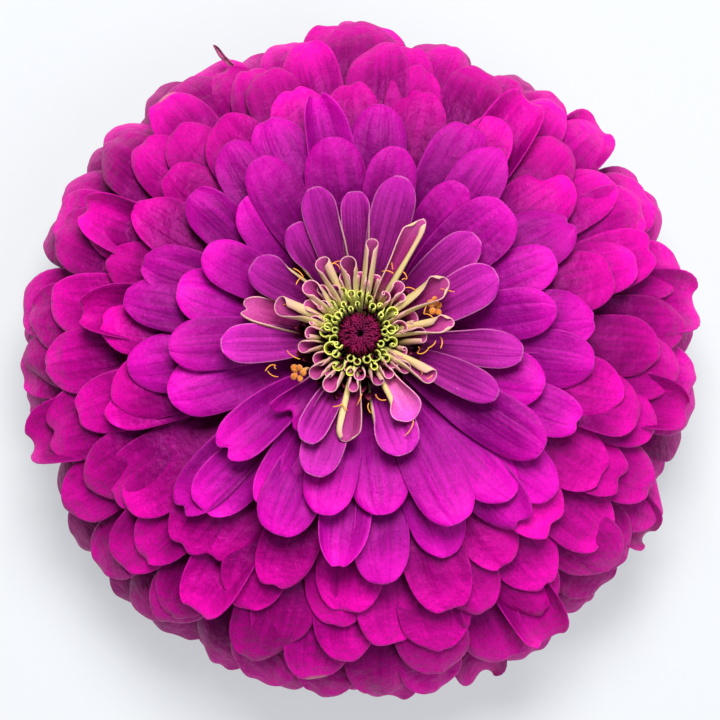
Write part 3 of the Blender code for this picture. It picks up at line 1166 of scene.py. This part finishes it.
@dataclass
class RolledFlorets:
    """The young florets between the quills and the open rings, each a piece of its own.

    Attributes:
        rise: how steeply their claws stand, in degrees.
        easing: how much less steeply for each millimetre that one is dropped.
        chance: the source of small irregularities.
    """

    rise: float = 74.0
    easing: float = 9.0
    chance: random.Random = draws(21)

    def build(self) -> None:
        """Makes every rolled floret."""
        chance = self.chance
        for node, roll in ROLLS.items():
            grown = growth_of(node)
            tip = (roll.reach * MM, grown.tip[1] - roll.drop * MM)
            rise = self.rise - self.easing * roll.drop
            line = ArchingLine(grown.claw, rise, tip, -roll.up, 0.0, (0.5, 0.3))
            blade = Blade(
                grown.bearing, line, roll.width * MM, 2.2 * MM, roll.section, lean=roll.lean,
                widest=0.8 if roll.closed_end else 1.0, taper=1.0, open_end=not roll.closed_end,
                slant=roll.slant, notch=roll.notch, grooves=0.10 * MM, blunt=0.3,
                ripple=chance.uniform(0.05, 0.22) * MM, tone=chance.uniform(0.2, 1.0),
                phase=chance.uniform(0.0, 6.28), crowding=1.2,
            )
            bm = new_mesh()
            blade.add_to(bm, 14, 11)
            name = node.replace("rolled_floret", "furled_ray")
            finishes = roll.face, Finish.INNER_BACK
            Piece(name, bm, finishes, "rolled_ray", (node,), 0.25 * MM).place()


class Mouth(Enum):
    """The shapes of a quill's mouth: the bends halfway and at its end, and its rolled edges."""

    ROUND = (350.0, 335.0, 0.0, 0.0)
    TROUGH = (345.0, 275.0, 0.0, 0.0)
    LEFT = (345.0, 290.0, 210.0, 0.0)
    RIGHT = (345.0, 290.0, 0.0, 210.0)


@dataclass
class Quills:
    """The ring of small tubes round the middle, the inner ones green and the outer pink-lipped.

    Attributes:
        foot: the height of their feet.
        mouth: the height of the mouths nearest the middle.
        climb: how much higher the mouths stand for each unit further out.
        chance: the source of small irregularities.
    """

    foot: float = 37.4 * MM
    mouth: float = 44.7 * MM
    climb: float = 0.34
    chance: random.Random = draws(8)

    def tube(self, bearing: float, radius: float, across: float, mouth: Mouth) -> Blade:
        """Makes one tube.

        Args:
            bearing: direction of its mouth, in degrees.
            radius: distance of its mouth's middle from the axis, in millimetres.
            across: the width of its mouth, in millimetres.
            mouth: the shape of its mouth.

        Returns:
            The blade.
        """
        chance = self.chance
        middle, end, left, right = mouth.value
        lip = 0.5 * across * MM
        outer = radius * MM + 0.8 * lip
        height = self.mouth + self.climb * (radius - 3.5) * MM + chance.uniform(-0.4, 0.4) * MM
        leaning = smooth((radius - 4.0) / 7.0)
        claw = (mix(0.90, 0.55, leaning) * outer, self.foot)
        line = ArchingLine(claw, 85.0, (outer, height), -mix(80.0, 34.0, leaning), 0.0, (0.4, 0.3))
        width = (lip - 0.24 * MM) * math.radians(end + 0.30 * (left + right))
        return Blade(
            bearing, line, width, 0.66 * width,
            Section(340.0, middle, end, left, right, 1.3, 0.25),
            lean=chance.gauss(0.0, 1.5), widest=1.0, taper=1.3, open_end=True,
            slant=mix(0.02, 0.09, leaning), grooves=0.04 * MM,
            ripple=chance.uniform(0.02, 0.10) * MM, tone=chance.uniform(0.0, 1.0),
            phase=chance.uniform(0.0, 6.28), crowding=1.1,
        )

    def build(self) -> None:
        """Makes the two kinds of tube as two pieces."""
        for name, table, finishes in (
            ("green_tubes", GREEN_TUBES, (Finish.QUILL_FACE, Finish.QUILL_BACK)),
            ("lipped_tubes", LIPPED_TUBES, (Finish.YOUNG_FACE, Finish.LIPPED_BACK)),
        ):
            bm = new_mesh()
            for row in table:
                self.tube(*row).add_to(bm, 14, 7)
            Piece(name, bm, finishes, "green_quill", ("quill_crown",), 0.30 * MM).place()


@dataclass
class Chaff:
    """The crimson chaff: a low mound with a pit in its middle, and scales between the tubes.

    Attributes:
        radius: the mound's radius.
        base: the height of its foot.
        rim: the height of its rim.
        pit: the height of the floor of its pit.
        bristles: how many bristles the mound has.
        scales: how many scales stand between the tubes.
        outermost: how far from the axis the last scale stands.
        chance: the source of small irregularities.
    """

    radius: float
    base: float
    rim: float
    pit: float
    bristles: int = 340
    scales: int = 120
    outermost: float = 11.5 * MM
    chance: random.Random = draws(3)

    def bristle(self, bearing: float, radius: float) -> Blade:
        """Makes one bristle of the mound, which bends towards the pit.

        Args:
            bearing: its direction from the axis.
            radius: how far from the axis it grows.

        Returns:
            The blade.
        """
        chance = self.chance
        share = radius / self.radius
        height = mix(self.pit, self.rim, smooth(1.7 * share))
        tip = (max(radius - 1.4 * MM, 0.15 * MM), height + chance.uniform(-0.2, 0.3) * MM)
        line = ArchingLine((radius, height - 1.2 * MM), 110.0, tip, 190.0)
        return Blade(
            bearing + chance.gauss(0.0, 5.0), line, 0.26 * MM, 0.24 * MM,
            Section(60.0, 60.0, 60.0), lean=chance.gauss(0.0, 9.0), widest=0.3, slant=0.4,
            tone=chance.uniform(0.0, 1.0), grooves=0.0, crowding=1.0,
        )

    def scale(self, bearing: float, radius: float) -> Blade:
        """Makes one scale that stands between the tubes.

        Args:
            bearing: its direction from the axis.
            radius: how far from the axis its tip is.

        Returns:
            The blade.
        """
        chance = self.chance
        height = self.rim + (0.18 * (radius - self.radius)) + chance.uniform(-1.6, -0.2) * MM
        line = ArchingLine((0.78 * radius, self.base), 80.0, (radius, height), -60.0)
        return Blade(
            bearing, line, 1.5 * MM, 1.1 * MM, Section(90.0, 70.0, 40.0),
            lean=chance.gauss(0.0, 2.0), widest=0.6, slant=0.12, notch=0.03,
            tone=chance.uniform(0.0, 1.0), grooves=0.0, crowding=1.0,
        )

    def build(self) -> None:
        """Makes the mound with its bristles, and the scales."""
        bm = new_mesh()
        for number in range(self.bristles):
            radius = self.radius * math.sqrt((number + 2.0) / (self.bristles + 1.0))
            self.bristle(GOLDEN_TURN * number, radius).add_to(bm, 1, 3)
        Piece(
            "chaff_bristles", bm, (Finish.CHAFF,), "crimson_chaff", ("chaff_cone",), 0.10 * MM, 0
        ).place()
        bm = new_mesh()
        floor = self.pit - 0.5 * MM
        mound = bmesh.ops.create_cone(
            bm, segments=32, radius1=self.radius, radius2=0.92 * self.radius,
            depth=floor - self.base, cap_ends=True, calc_uvs=True,
        )["verts"]
        bmesh.ops.translate(bm, verts=mound, vec=(0.0, 0.0, 0.5 * (floor + self.base)))
        for number in range(self.scales):
            share = (number + 0.5) / self.scales
            radius = mix(1.12 * self.radius, self.outermost, share)
            self.scale(GOLDEN_TURN * number, radius).add_to(bm, 2, 4)
        Piece(
            "chaff_scales", bm, (Finish.DARK_CHAFF,), "crimson_chaff", ("chaff_cone",), 0.12 * MM, 0
        ).place()


@dataclass
class DiscFlorets:
    """The two open disc florets: a slim tube that carries five fuzzy orange lobes.

    Attributes:
        lobe: half the size of a lobe, each way.
        lobes: how many lobes a floret has.
        spread: how far from the floret's own axis they grow.
        tube: the tube's radius at its foot and at its mouth.
        depth: the tube's length.
        tilt: how far the florets lean outwards, in degrees.
        sinks: how far below its CAD node's top each floret's mouth lies.
        chance: the source of small irregularities.
    """

    lobe: tuple[float, float, float] = (0.80 * MM, 0.66 * MM, 0.56 * MM)
    lobes: int = 5
    spread: float = 0.92 * MM
    tube: Point2 = (0.28 * MM, 0.50 * MM)
    depth: float = 4.0 * MM
    tilt: float = 32.0
    sinks: Point2 = (0.4 * MM, 2.6 * MM)
    chance: random.Random = draws(2)

    def build(self) -> None:
        """Makes both florets."""
        chance = self.chance
        for number, sink in enumerate(self.sinks, 1):
            node = f"disc_floret_{number}"
            low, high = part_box(node)
            middle = 0.5 * (low + high)
            bearing = math.atan2(middle.y, middle.x)
            lean = Matrix.Rotation(math.radians(self.tilt), 4, "Y")
            bm = new_mesh()
            stem = bmesh.ops.create_cone(
                bm, segments=10, radius1=self.tube[0], radius2=self.tube[1], depth=self.depth,
                cap_ends=True, calc_uvs=True,
            )["verts"]
            bmesh.ops.translate(bm, verts=stem, vec=(0.0, 0.0, -0.5 * self.depth))
            for lobe in range(self.lobes):
                ball = bmesh.ops.create_icosphere(bm, subdivisions=3, radius=1.0, calc_uvs=True)
                verts = ball["verts"]
                for vertex in verts:
                    vertex.co *= chance.uniform(0.88, 1.12)
                size = chance.uniform(0.72, 1.08)
                bmesh.ops.scale(bm, verts=verts, vec=Vector(self.lobe) * size)
                angle = math.radians(360.0 / self.lobes * lobe + chance.uniform(-10.0, 10.0))
                turned = (
                    Matrix.Rotation(angle, 4, "Z")
                    @ Matrix.Translation((self.spread, 0.0, chance.uniform(0.0, 0.6) * MM))
                    @ Matrix.Rotation(math.radians(chance.uniform(-50.0, 0.0)), 4, "Y")
                )
                bmesh.ops.transform(bm, matrix=turned, verts=verts)
            place = Matrix.Translation((middle.x, middle.y, high.z - sink))
            place = place @ Matrix.Rotation(bearing, 4, "Z") @ lean
            bmesh.ops.transform(bm, matrix=place, verts=bm.verts)
            Piece(
                f"orange_star_{number}", bm, (Finish.STAR,), "orange_star", (node,), 0.0
            ).place()


@dataclass
class Styles:
    """The orange threads at the feet of the open florets, some of them forked.

    Attributes:
        thickness: the radius of a thread.
        steps: how many straight steps its arc has.
        forked: how many threads it takes for one of them to have a second arm.
        chance: the source of small irregularities.
    """

    thickness: float = 0.10 * MM
    steps: int = 9
    forked: int = 3
    chance: random.Random = draws(14)

    def thread(
        self, bm: bmesh.types.BMesh, place: Vector, bearing: float, rise: float, curl: float,
        bow: float, twist: float,
    ) -> None:
        """Adds one thread, an arc of a circle.

        Args:
            bm: the mesh.
            place: where it starts.
            bearing: which way it runs, in degrees.
            rise: how steeply it starts, in degrees above level.
            curl: how far it bends in all, in degrees.
            bow: the radius of its arc.
            twist: how far the plane of its arc is turned about its start, in degrees.
        """
        before = len(bm.verts)
        disc = bmesh.ops.create_circle(bm, cap_ends=True, segments=6, radius=self.thickness)
        start = disc["verts"][0].link_faces[0]
        bmesh.ops.spin(
            bm, geom=[start, *start.edges, *start.verts], cent=(bow, 0.0, 0.0),
            axis=(0.0, 1.0, 0.0), angle=math.radians(curl), steps=self.steps,
        )
        bm.verts.ensure_lookup_table()
        turn = (
            Matrix.Translation(place)
            @ Matrix.Rotation(math.radians(bearing), 4, "Z")
            @ Matrix.Rotation(math.radians(90.0 - rise), 4, "Y")
            @ Matrix.Rotation(math.radians(twist), 4, "Z")
        )
        bmesh.ops.transform(bm, matrix=turn, verts=bm.verts[before:])

    def build(self) -> None:
        """Makes every thread in one piece."""
        chance = self.chance
        bm = new_mesh()
        for number, (bearing, radius, height) in enumerate(STYLES):
            place = around(bearing) * radius * MM + Vector((0.0, 0.0, height * MM))
            away = bearing + chance.uniform(-55.0, 55.0)
            rise, bow = chance.uniform(20.0, 55.0), chance.uniform(1.0, 1.8) * MM
            twist = chance.uniform(-100.0, 100.0)
            self.thread(bm, place, away, rise, chance.uniform(80.0, 130.0), bow, twist)
            if number % self.forked == 0:
                self.thread(bm, place, away + 70.0, rise, 70.0, bow, twist + 60.0)
        bmesh.ops.recalc_face_normals(bm, faces=bm.faces)
        Piece(
            "style_threads", bm, (Finish.STYLE,), "orange_star", ("disc_floret_1",), 0.0
        ).place()


# --- Below the florets ---


@dataclass
class Involucre:
    """The cup of overlapping green bracts round the foot of the head, in three rows.

    Attributes:
        rows: each row's claw and tip, as radius and height, its bracts' width and first bearing.
        bracts: how many bracts a row has.
        chance: the source of small irregularities.
    """

    rows: Sequence[tuple[Point2, Point2, float, float]] = (
        ((4.8 * MM, 5.2 * MM), (10.6 * MM, 8.6 * MM), 5.0 * MM, 0.0),
        ((5.6 * MM, 5.9 * MM), (13.2 * MM, 9.8 * MM), 6.0 * MM, 15.0),
        ((6.2 * MM, 6.6 * MM), (15.6 * MM, 10.9 * MM), 6.8 * MM, 0.0),
    )
    bracts: int = 12
    chance: random.Random = draws(17)

    def build(self) -> None:
        """Makes every bract in one piece."""
        chance = self.chance
        bm = new_mesh()
        for claw, tip, width, start in self.rows:
            for number in range(self.bracts):
                line = ArchingLine(claw, 30.0, tip, chance.uniform(-30.0, -12.0))
                Blade(
                    start + 360.0 / self.bracts * number + chance.gauss(0.0, 1.5), line,
                    width * chance.uniform(0.92, 1.06), 3.4 * MM, Section(70.0, 60.0, 50.0),
                    widest=0.62, blunt=0.2, grooves=0.0, tone=chance.uniform(0.0, 1.0),
                    ripple=0.1 * MM, crowding=1.2,
                ).add_to(bm, 6, 6)
        Piece(
            "green_bracts", bm, (Finish.BRACT,), "green_bract", ("involucre",), 0.5 * MM
        ).place()


@dataclass
class Stalk:
    """The cut stalk and the cone that the florets grow on, turned round the axis.

    Attributes:
        outline: radii and heights from the cone's top to the middle of the cut, in millimetres.
        ribs: how many ribs it has.
        rib: how far they stand out, and the grooves between them in.
        thin: how thin it is where the ribs end.
        cut: how high the cut end's own colour reaches.
    """

    outline: Sequence[Point2] = (
        (0.0, 35.4), (1.6, 35.3), (2.9, 34.6), (5.3, 28.4), (7.4, 21.0), (9.3, 14.4), (9.4, 13.2),
        (8.2, 11.0), (6.0, 7.4), (4.5, 5.0), (3.8, 3.4), (3.6, 1.6), (3.7, 0.3), (3.5, 0.0),
        (1.8, 0.15), (0.0, 0.15),
    )
    ribs: int = 12
    rib: float = 0.10 * MM
    thin: float = 2.0 * MM
    cut: float = 0.2 * MM

    def build(self) -> None:
        """Turns the outline and presses shallow ribs into the stalk."""
        bm = new_mesh()
        verts = [bm.verts.new((radius * MM, 0.0, height * MM)) for radius, height in self.outline]
        edges = [bm.edges.new(pair) for pair in zip(verts, verts[1:])]
        bmesh.ops.spin(
            bm, geom=[*verts, *edges], cent=(0.0, 0.0, 0.0), axis=(0.0, 0.0, 1.0),
            angle=math.tau, steps=4 * self.ribs, use_merge=True,
        )
        bmesh.ops.remove_doubles(bm, verts=bm.verts, dist=1e-6)
        for vertex in bm.verts:
            radius = math.hypot(vertex.co.x, vertex.co.y)
            if radius > self.thin:
                turn = math.cos(self.ribs * math.atan2(vertex.co.y, vertex.co.x))
                vertex.co.xy = vertex.co.xy * (1.0 + self.rib * turn / radius)
        bmesh.ops.recalc_face_normals(bm, faces=bm.faces)
        for face in bm.faces:
            face.material_index = int(face.calc_center_median().z < self.cut)
        Piece(
            "ribbed_stalk", bm, (Finish.STALK, Finish.STALK_CUT), "green_stalk",
            ("stalk_and_receptacle",), 0.0,
        ).place()


@dataclass
class DriedTip:
    """One thin dried floret end that curls out of the edge of the head.

    Attributes:
        bearing: its direction from the axis, in degrees.
        start: radius and height where it starts.
        end: the same where it ends.
    """

    bearing: float = 113.8
    start: Point2 = (49.0 * MM, 21.5 * MM)
    end: Point2 = (55.6 * MM, 23.0 * MM)

    def build(self) -> None:
        """Makes it as one small blade, rolled up lengthwise."""
        bm = new_mesh()
        line = ArchingLine(self.start, 20.0, self.end, 20.0)
        Blade(
            self.bearing, line, 1.5 * MM, 1.2 * MM, Section(200.0, 250.0, 300.0), lean=2.0,
            widest=0.3, slant=0.1, grooves=0.0, ripple=0.3 * MM, tone=0.4, crowding=1.0,
        ).add_to(bm, 6, 6)
        Piece(
            "dried_floret_end", bm, (Finish.DRIED,), "magenta_ray", ("ray_whorl_5",), 0.15 * MM
        ).place()


# --- What grew where ---

# Bearings, and how far out the head reaches there as a share of the dome's radius.
OUTLINE = (
    (0.0, 1.015), (35.0, 1.0), (58.0, 0.965), (78.0, 0.975), (90.0, 1.025), (100.0, 0.99),
    (107.0, 0.935), (112.0, 0.975), (122.0, 1.005), (150.0, 1.02), (200.0, 1.02), (275.0, 1.05),
    (330.0, 1.02), (360.0, 1.015),
)

# Each whorl's florets as bearing, reach and width, and then their claw, rise, sink and lift.
UPPER_WHORLS = (
    (
        (
            (14, 42.0, 11.5), (37, 43.5, 11.0), (56, 42.5, 10.5), (75, 42.5, 11.0),
            (91, 42.0, 10.5), (103, 43.5, 10.0), (121, 42.5, 11.0), (137, 41.5, 10.5),
            (152, 43.0, 10.5), (163, 43.5, 10.0), (178, 42.5, 11.0), (192, 42.0, 11.0),
            (200, 44.0, 9.0), (214, 46.6, 10.5), (225, 45.0, 9.5), (239, 43.0, 10.5),
            (254, 43.0, 11.0), (270, 44.5, 11.0), (286, 45.6, 10.5), (301, 43.5, 11.0),
            (317, 44.0, 11.0), (331, 45.0, 10.5), (347, 43.5, 11.0),
        ),
        (6.6 * MM, 27.2 * MM), 35.0, 1.0 * MM, 8.0,
    ),
    (
        (
            (5, 38.5, 10.5), (29, 39.0, 10.5), (49, 38.0, 10.0), (63, 38.8, 9.5),
            (85, 38.0, 10.5), (97, 39.8, 9.0), (111, 39.0, 10.0), (129, 38.5, 10.0),
            (144, 35.6, 9.0), (160, 38.0, 10.0), (173, 39.0, 9.0), (187, 38.6, 10.0),
            (219, 40.8, 9.0), (232, 38.0, 9.5), (248, 34.8, 10.0),
            (265, 38.2, 10.0), (279, 40.0, 9.5), (293, 39.5, 9.5), (308, 40.5, 10.0),
            (325, 40.0, 10.0), (338, 38.5, 9.5), (353, 37.8, 10.0),
        ),
        (6.1 * MM, 28.8 * MM), 41.0, -0.2 * MM, 14.0,
    ),
)

RINGS = {
    "inner_ray_": Ring(
        Finish.VIOLET_FACE, Finish.INNER_BACK, 190.0, (20.0, 45.0), (-50.0, -10.0), 5.0, 56.0
    ),
    "middle_ray_": Ring(
        Finish.MIDDLE_FACE, Finish.OUTER_BACK, 170.0, (-8.0, 22.0), (-64.0, -24.0), 6.0, 50.0
    ),
}

HABITS = {
    "inner_ray_01": Habit(Section(190, 40, -10), lean=7),
    "inner_ray_02": Habit(Section(200, 60, -20, 0, 60)),
    "inner_ray_03": Habit(Section(180, 30, -30)),
    "inner_ray_04": Habit(Section(200, 60, 0, 60, 120)),
    "inner_ray_05": Habit(Section(190, 45, -5, 0, 150, 0.9, 0.72)),
    "inner_ray_06": Habit(Section(190, 30, -10, 200, 0, 0.80, 0.66), lean=-2),
    "inner_ray_07": Habit(Section(190, 30, -20, 0, 200, 0.85, 0.66), lean=6),
    "inner_ray_08": Habit(Section(220, 80, 20, 90, 60, 1.2), Finish.YOUNG_FACE, -2, 12, 0.05),
    "inner_ray_10": Habit(Section(200, 60, 20, 40, 40), raised=2.7 * MM),
    "inner_ray_11": Habit(Section(180, 40, -20)),
    "inner_ray_12": Habit(Section(200, 50, 0, 0, 190, 0.8, 0.72)),
    "inner_ray_14": Habit(Section(190, 45, -20, 80, 0, 0.8, 0.7)),
    "middle_ray_09": Habit(Section(170, 10, -40), Finish.MIDDLE_FACE, 3, 8),
    "middle_ray_13": Habit(Section(190, 90, 40), Finish.MIDDLE_FACE, 0, 0, 0.05),
    "middle_ray_14": Habit(Section(190, 60, 0), Finish.MIDDLE_FACE, 2, -14),
}

ROLLS = {
    "rolled_floret_01": Roll(
        15.2, 5, Section(350, 300, 180, 130, 0, 0.9, 0.3), 0.08, lean=2, closed_end=True
    ),
    "rolled_floret_02": Roll(
        16.4, 6.6, Section(350, 300, 160, 60, 0, 0.9, 0.3), 0.08, closed_end=True
    ),
    "rolled_floret_03": Roll(
        20.6, 5.2, Section(340, 190, 140, 0, 200, 1.3, 0.3), 0.10, closed_end=True
    ),
    "rolled_floret_04": Roll(15, 4.8, Section(350, 350, 330), 0.10, lean=-1),
    "rolled_floret_05": Roll(12.2, 6, Section(350, 355, 310), 0.12, up=50),
    "rolled_floret_06": Roll(13.4, 6.2, Section(350, 350, 290, 0, 110, 1.3, 0.3), 0.12, up=38),
    "rolled_floret_07": Roll(11.8, 6, Section(350, 355, 300), 0.12, up=50),
    "rolled_floret_08": Roll(14.4, 7.2, Section(350, 340, 260, 0, 90, 1.2, 0.3), 0.12, up=36),
    "rolled_floret_09": Roll(
        18.8, 7.6, Section(340, 230, 120), 0.04, Finish.MIDDLE_FACE, notch=0.16, up=-16, drop=4.8
    ),
    "rolled_floret_10": Roll(
        18, 5.4, Section(340, 210, 60, 0, 150, 1.2, 0.4), 0.06, closed_end=True, up=0, drop=2.6
    ),
    "rolled_floret_11": Roll(
        16.6, 6.4, Section(340, 240, 90, 0, 170, 0.8, 0.5), 0.04, Finish.PALE_FACE,
        closed_end=True, up=8, drop=1.6,
    ),
    "rolled_floret_12": Roll(14.4, 5.8, Section(350, 330, 250, 110, 0, 1.2, 0.3), 0.12),
}

ROUND, TROUGH, LEFT, RIGHT = Mouth

# Bearing, and the distance and width of the mouth in millimetres.
GREEN_TUBES = (
    (112, 7.2, 1.3, ROUND), (103, 6.3, 1.3, ROUND), (91, 6.1, 1.1, ROUND), (83, 6.7, 1.3, ROUND),
    (74, 5.6, 1.1, ROUND), (64, 4.6, 1.1, ROUND), (21, 4.4, 1.1, ROUND), (5, 3.9, 1.1, ROUND),
    (333, 3.7, 1.1, ROUND), (321, 4.9, 1.4, ROUND), (282, 4.4, 1.3, ROUND), (265, 4.6, 1.2, ROUND),
    (250, 4.3, 1.2, ROUND), (152, 4.5, 1.2, ROUND), (141, 4.4, 1.2, ROUND), (155, 5.7, 1.3, LEFT),
    (136, 6.4, 1.3, ROUND), (119, 5.2, 0.9, ROUND), (110, 4.1, 0.8, ROUND), (207, 3.9, 1.3, RIGHT),
    (51, 5.2, 1.5, LEFT), (30, 6.2, 1.7, RIGHT), (2, 5.0, 1.5, ROUND), (343, 5.4, 1.6, RIGHT),
    (305, 4.4, 2.0, TROUGH), (236, 6.4, 1.9, RIGHT), (180, 5.6, 1.9, TROUGH),
    (208, 5.4, 2.2, TROUGH), (172, 4.0, 1.0, ROUND), (40, 4.3, 0.9, ROUND), (352, 4.3, 0.9, ROUND),
    (293, 6.0, 1.2, ROUND), (196, 4.4, 1.5, LEFT), (168, 5.2, 1.3, TROUGH), (222, 5.2, 1.2, ROUND),
    (312, 5.9, 1.3, ROUND), (258, 6.6, 1.4, ROUND), (12, 5.6, 1.3, LEFT), (95, 4.6, 0.8, ROUND),
    (128, 4.5, 0.9, ROUND),
)

LIPPED_TUBES = (
    (123, 7.9, 2.0, TROUGH), (145, 7.3, 1.8, LEFT), (92, 8.9, 1.8, LEFT), (75, 8.8, 2.0, RIGHT),
    (55, 7.0, 1.8, LEFT), (50, 9.6, 2.1, TROUGH), (17, 8.5, 2.6, RIGHT), (7, 6.7, 2.2, RIGHT),
    (354, 9.8, 2.5, RIGHT), (337, 7.3, 2.1, LEFT), (318, 7.2, 2.1, LEFT), (320, 9.4, 2.0, TROUGH),
    (214, 7.9, 2.3, TROUGH), (224, 9.9, 2.3, TROUGH), (243, 10.0, 2.6, TROUGH),
    (195, 9.4, 2.1, TROUGH), (179, 8.0, 2.0, LEFT), (166, 7.6, 1.7, LEFT), (151, 9.3, 1.9, TROUGH),
    (253, 5.9, 1.7, LEFT), (273, 6.9, 2.0, TROUGH), (106, 9.2, 1.7, TROUGH),
    (131, 9.2, 1.7, TROUGH), (262, 9.0, 1.8, TROUGH), (290, 8.4, 1.9, LEFT),
    (304, 8.2, 1.8, TROUGH), (38, 8.6, 1.7, TROUGH), (233, 8.3, 1.6, LEFT),
)

# Where each thread starts: bearing, and radius and height in millimetres.
STYLES = (
    (202, 14.6, 46.8), (205, 10.6, 46.8), (209, 15.0, 46.4), (136, 12.6, 46.8), (158, 11.6, 46.8),
    (108, 10.4, 47.0), (104, 11.6, 46.8), (70, 10.2, 47.2), (62, 11.2, 47.2), (48, 11.2, 47.4),
    (44, 10.0, 47.2), (28, 14.6, 47.0), (15, 10.6, 47.2), (356, 12.8, 46.8), (346, 11.2, 47.0),
    (339, 9.8, 46.8), (272, 10.0, 46.8), (284, 10.4, 46.8), (256, 12.0, 46.4), (277, 11.6, 46.6),
    (301, 16.6, 45.8), (322, 12.0, 46.6),
)


# --- The studio ---


@dataclass
class Studio:
    """The pale floor, the soft lights and the camera.

    Attributes:
        floor_size: the length of the floor's sides.
        floor_glow: how strongly the floor glows.
        sky: the colour of the sky.
        sky_glow: how strongly it shines.
        camera_elevation: how high the camera stands, in degrees.
        camera_distance: how far from the point it looks at.
        sensor: the width of the camera's sensor, in millimetres.
        span: how wide the view is at that point.
        aim: the point that it looks at.
    """

    floor_size: float = 3.0
    floor_glow: float = 0.53
    sky: Colour = (0.93, 0.96, 1.0)
    sky_glow: float = 0.11
    camera_elevation: float = 84.0
    camera_distance: float = 1.2
    sensor: float = 21.2
    span: float = 0.1181
    aim: Vector = field(default_factory=lambda: Vector((0.0, -0.0018, 0.020)))

    def floor(self) -> None:
        """Lays the floor."""
        bm = bmesh.new()
        bmesh.ops.create_grid(bm, x_segments=1, y_segments=1, size=0.5 * self.floor_size)
        mesh = bpy.data.meshes.new("floor")
        bm.to_mesh(mesh)
        bm.free()
        graph = Graph("floor_white")
        graph.put(graph.shader.inputs["Emission Color"], (0.92, 0.95, 1.0))
        graph.put(graph.shader.inputs["Emission Strength"], self.floor_glow)
        mesh.materials.append(graph.finish((0.25, 0.26, 0.27), 0.9))
        piece = bpy.data.objects.new("floor", mesh)
        bpy.context.scene.collection.objects.link(piece)

    def light(self, name: str, place: Vector, size: float, watts: float, colour: Colour) -> None:
        """Hangs a square soft light that looks at the flower.

        Args:
            name: its name.
            place: where it hangs.
            size: the length of its sides.
            watts: its power.
            colour: its colour.
        """
        lamp = bpy.data.lights.new(name, "AREA")
        lamp.size = size
        lamp.energy = watts
        lamp.color = colour
        holder = bpy.data.objects.new(name, lamp)
        holder.location = place
        holder.rotation_euler = (self.aim - place).to_track_quat("-Z", "Y").to_euler()
        bpy.context.scene.collection.objects.link(holder)

    def build(self) -> None:
        """Sets up floor, lights, sky and camera."""
        self.floor()
        self.light("key", Vector((0.03, 0.54, 1.10)), 0.60, 24.5, (1.0, 0.98, 0.95))
        self.light("fill", Vector((0.55, -0.35, 1.00)), 0.70, 5.0, self.sky)
        world = bpy.data.worlds.new("sky")
        world.use_nodes = True
        background = world.node_tree.nodes["Background"]
        background.inputs["Color"].default_value = (*self.sky, 1.0)
        background.inputs["Strength"].default_value = self.sky_glow
        scene = bpy.context.scene
        scene.world = world
        scene.view_settings.view_transform = "Standard"
        camera = bpy.data.cameras.new("camera")
        camera.sensor_width = self.sensor
        camera.lens = camera.sensor_width * self.camera_distance / self.span
        holder = bpy.data.objects.new("camera", camera)
        tilt = math.radians(self.camera_elevation)
        offset = Vector((0.0, -math.cos(tilt), math.sin(tilt))) * self.camera_distance
        holder.location = self.aim + offset
        holder.rotation_euler = (math.radians(90.0 - self.camera_elevation), 0.0, 0.0)
        scene.collection.objects.link(holder)
        scene.camera = holder


def main() -> None:
    """Builds the flower from its lowest whorl to its middle, and then the studio."""
    logging.basicConfig(level=logging.INFO, format="%(name)s: %(message)s")
    dome = dome_of_frame()
    Stalk().build()
    Involucre().build()
    LowerWhorls(dome).build()
    DriedTip().build()
    UpperRings(dome).build()
    RolledFlorets().build()
    Quills().build()
    low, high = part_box("chaff_cone")
    Chaff(high.x, low.z, high.z, high.z - 2.8 * MM).build()
    DiscFlorets().build()
    Styles().build()
    Studio().build()


if __name__ == "__main__":
    main()
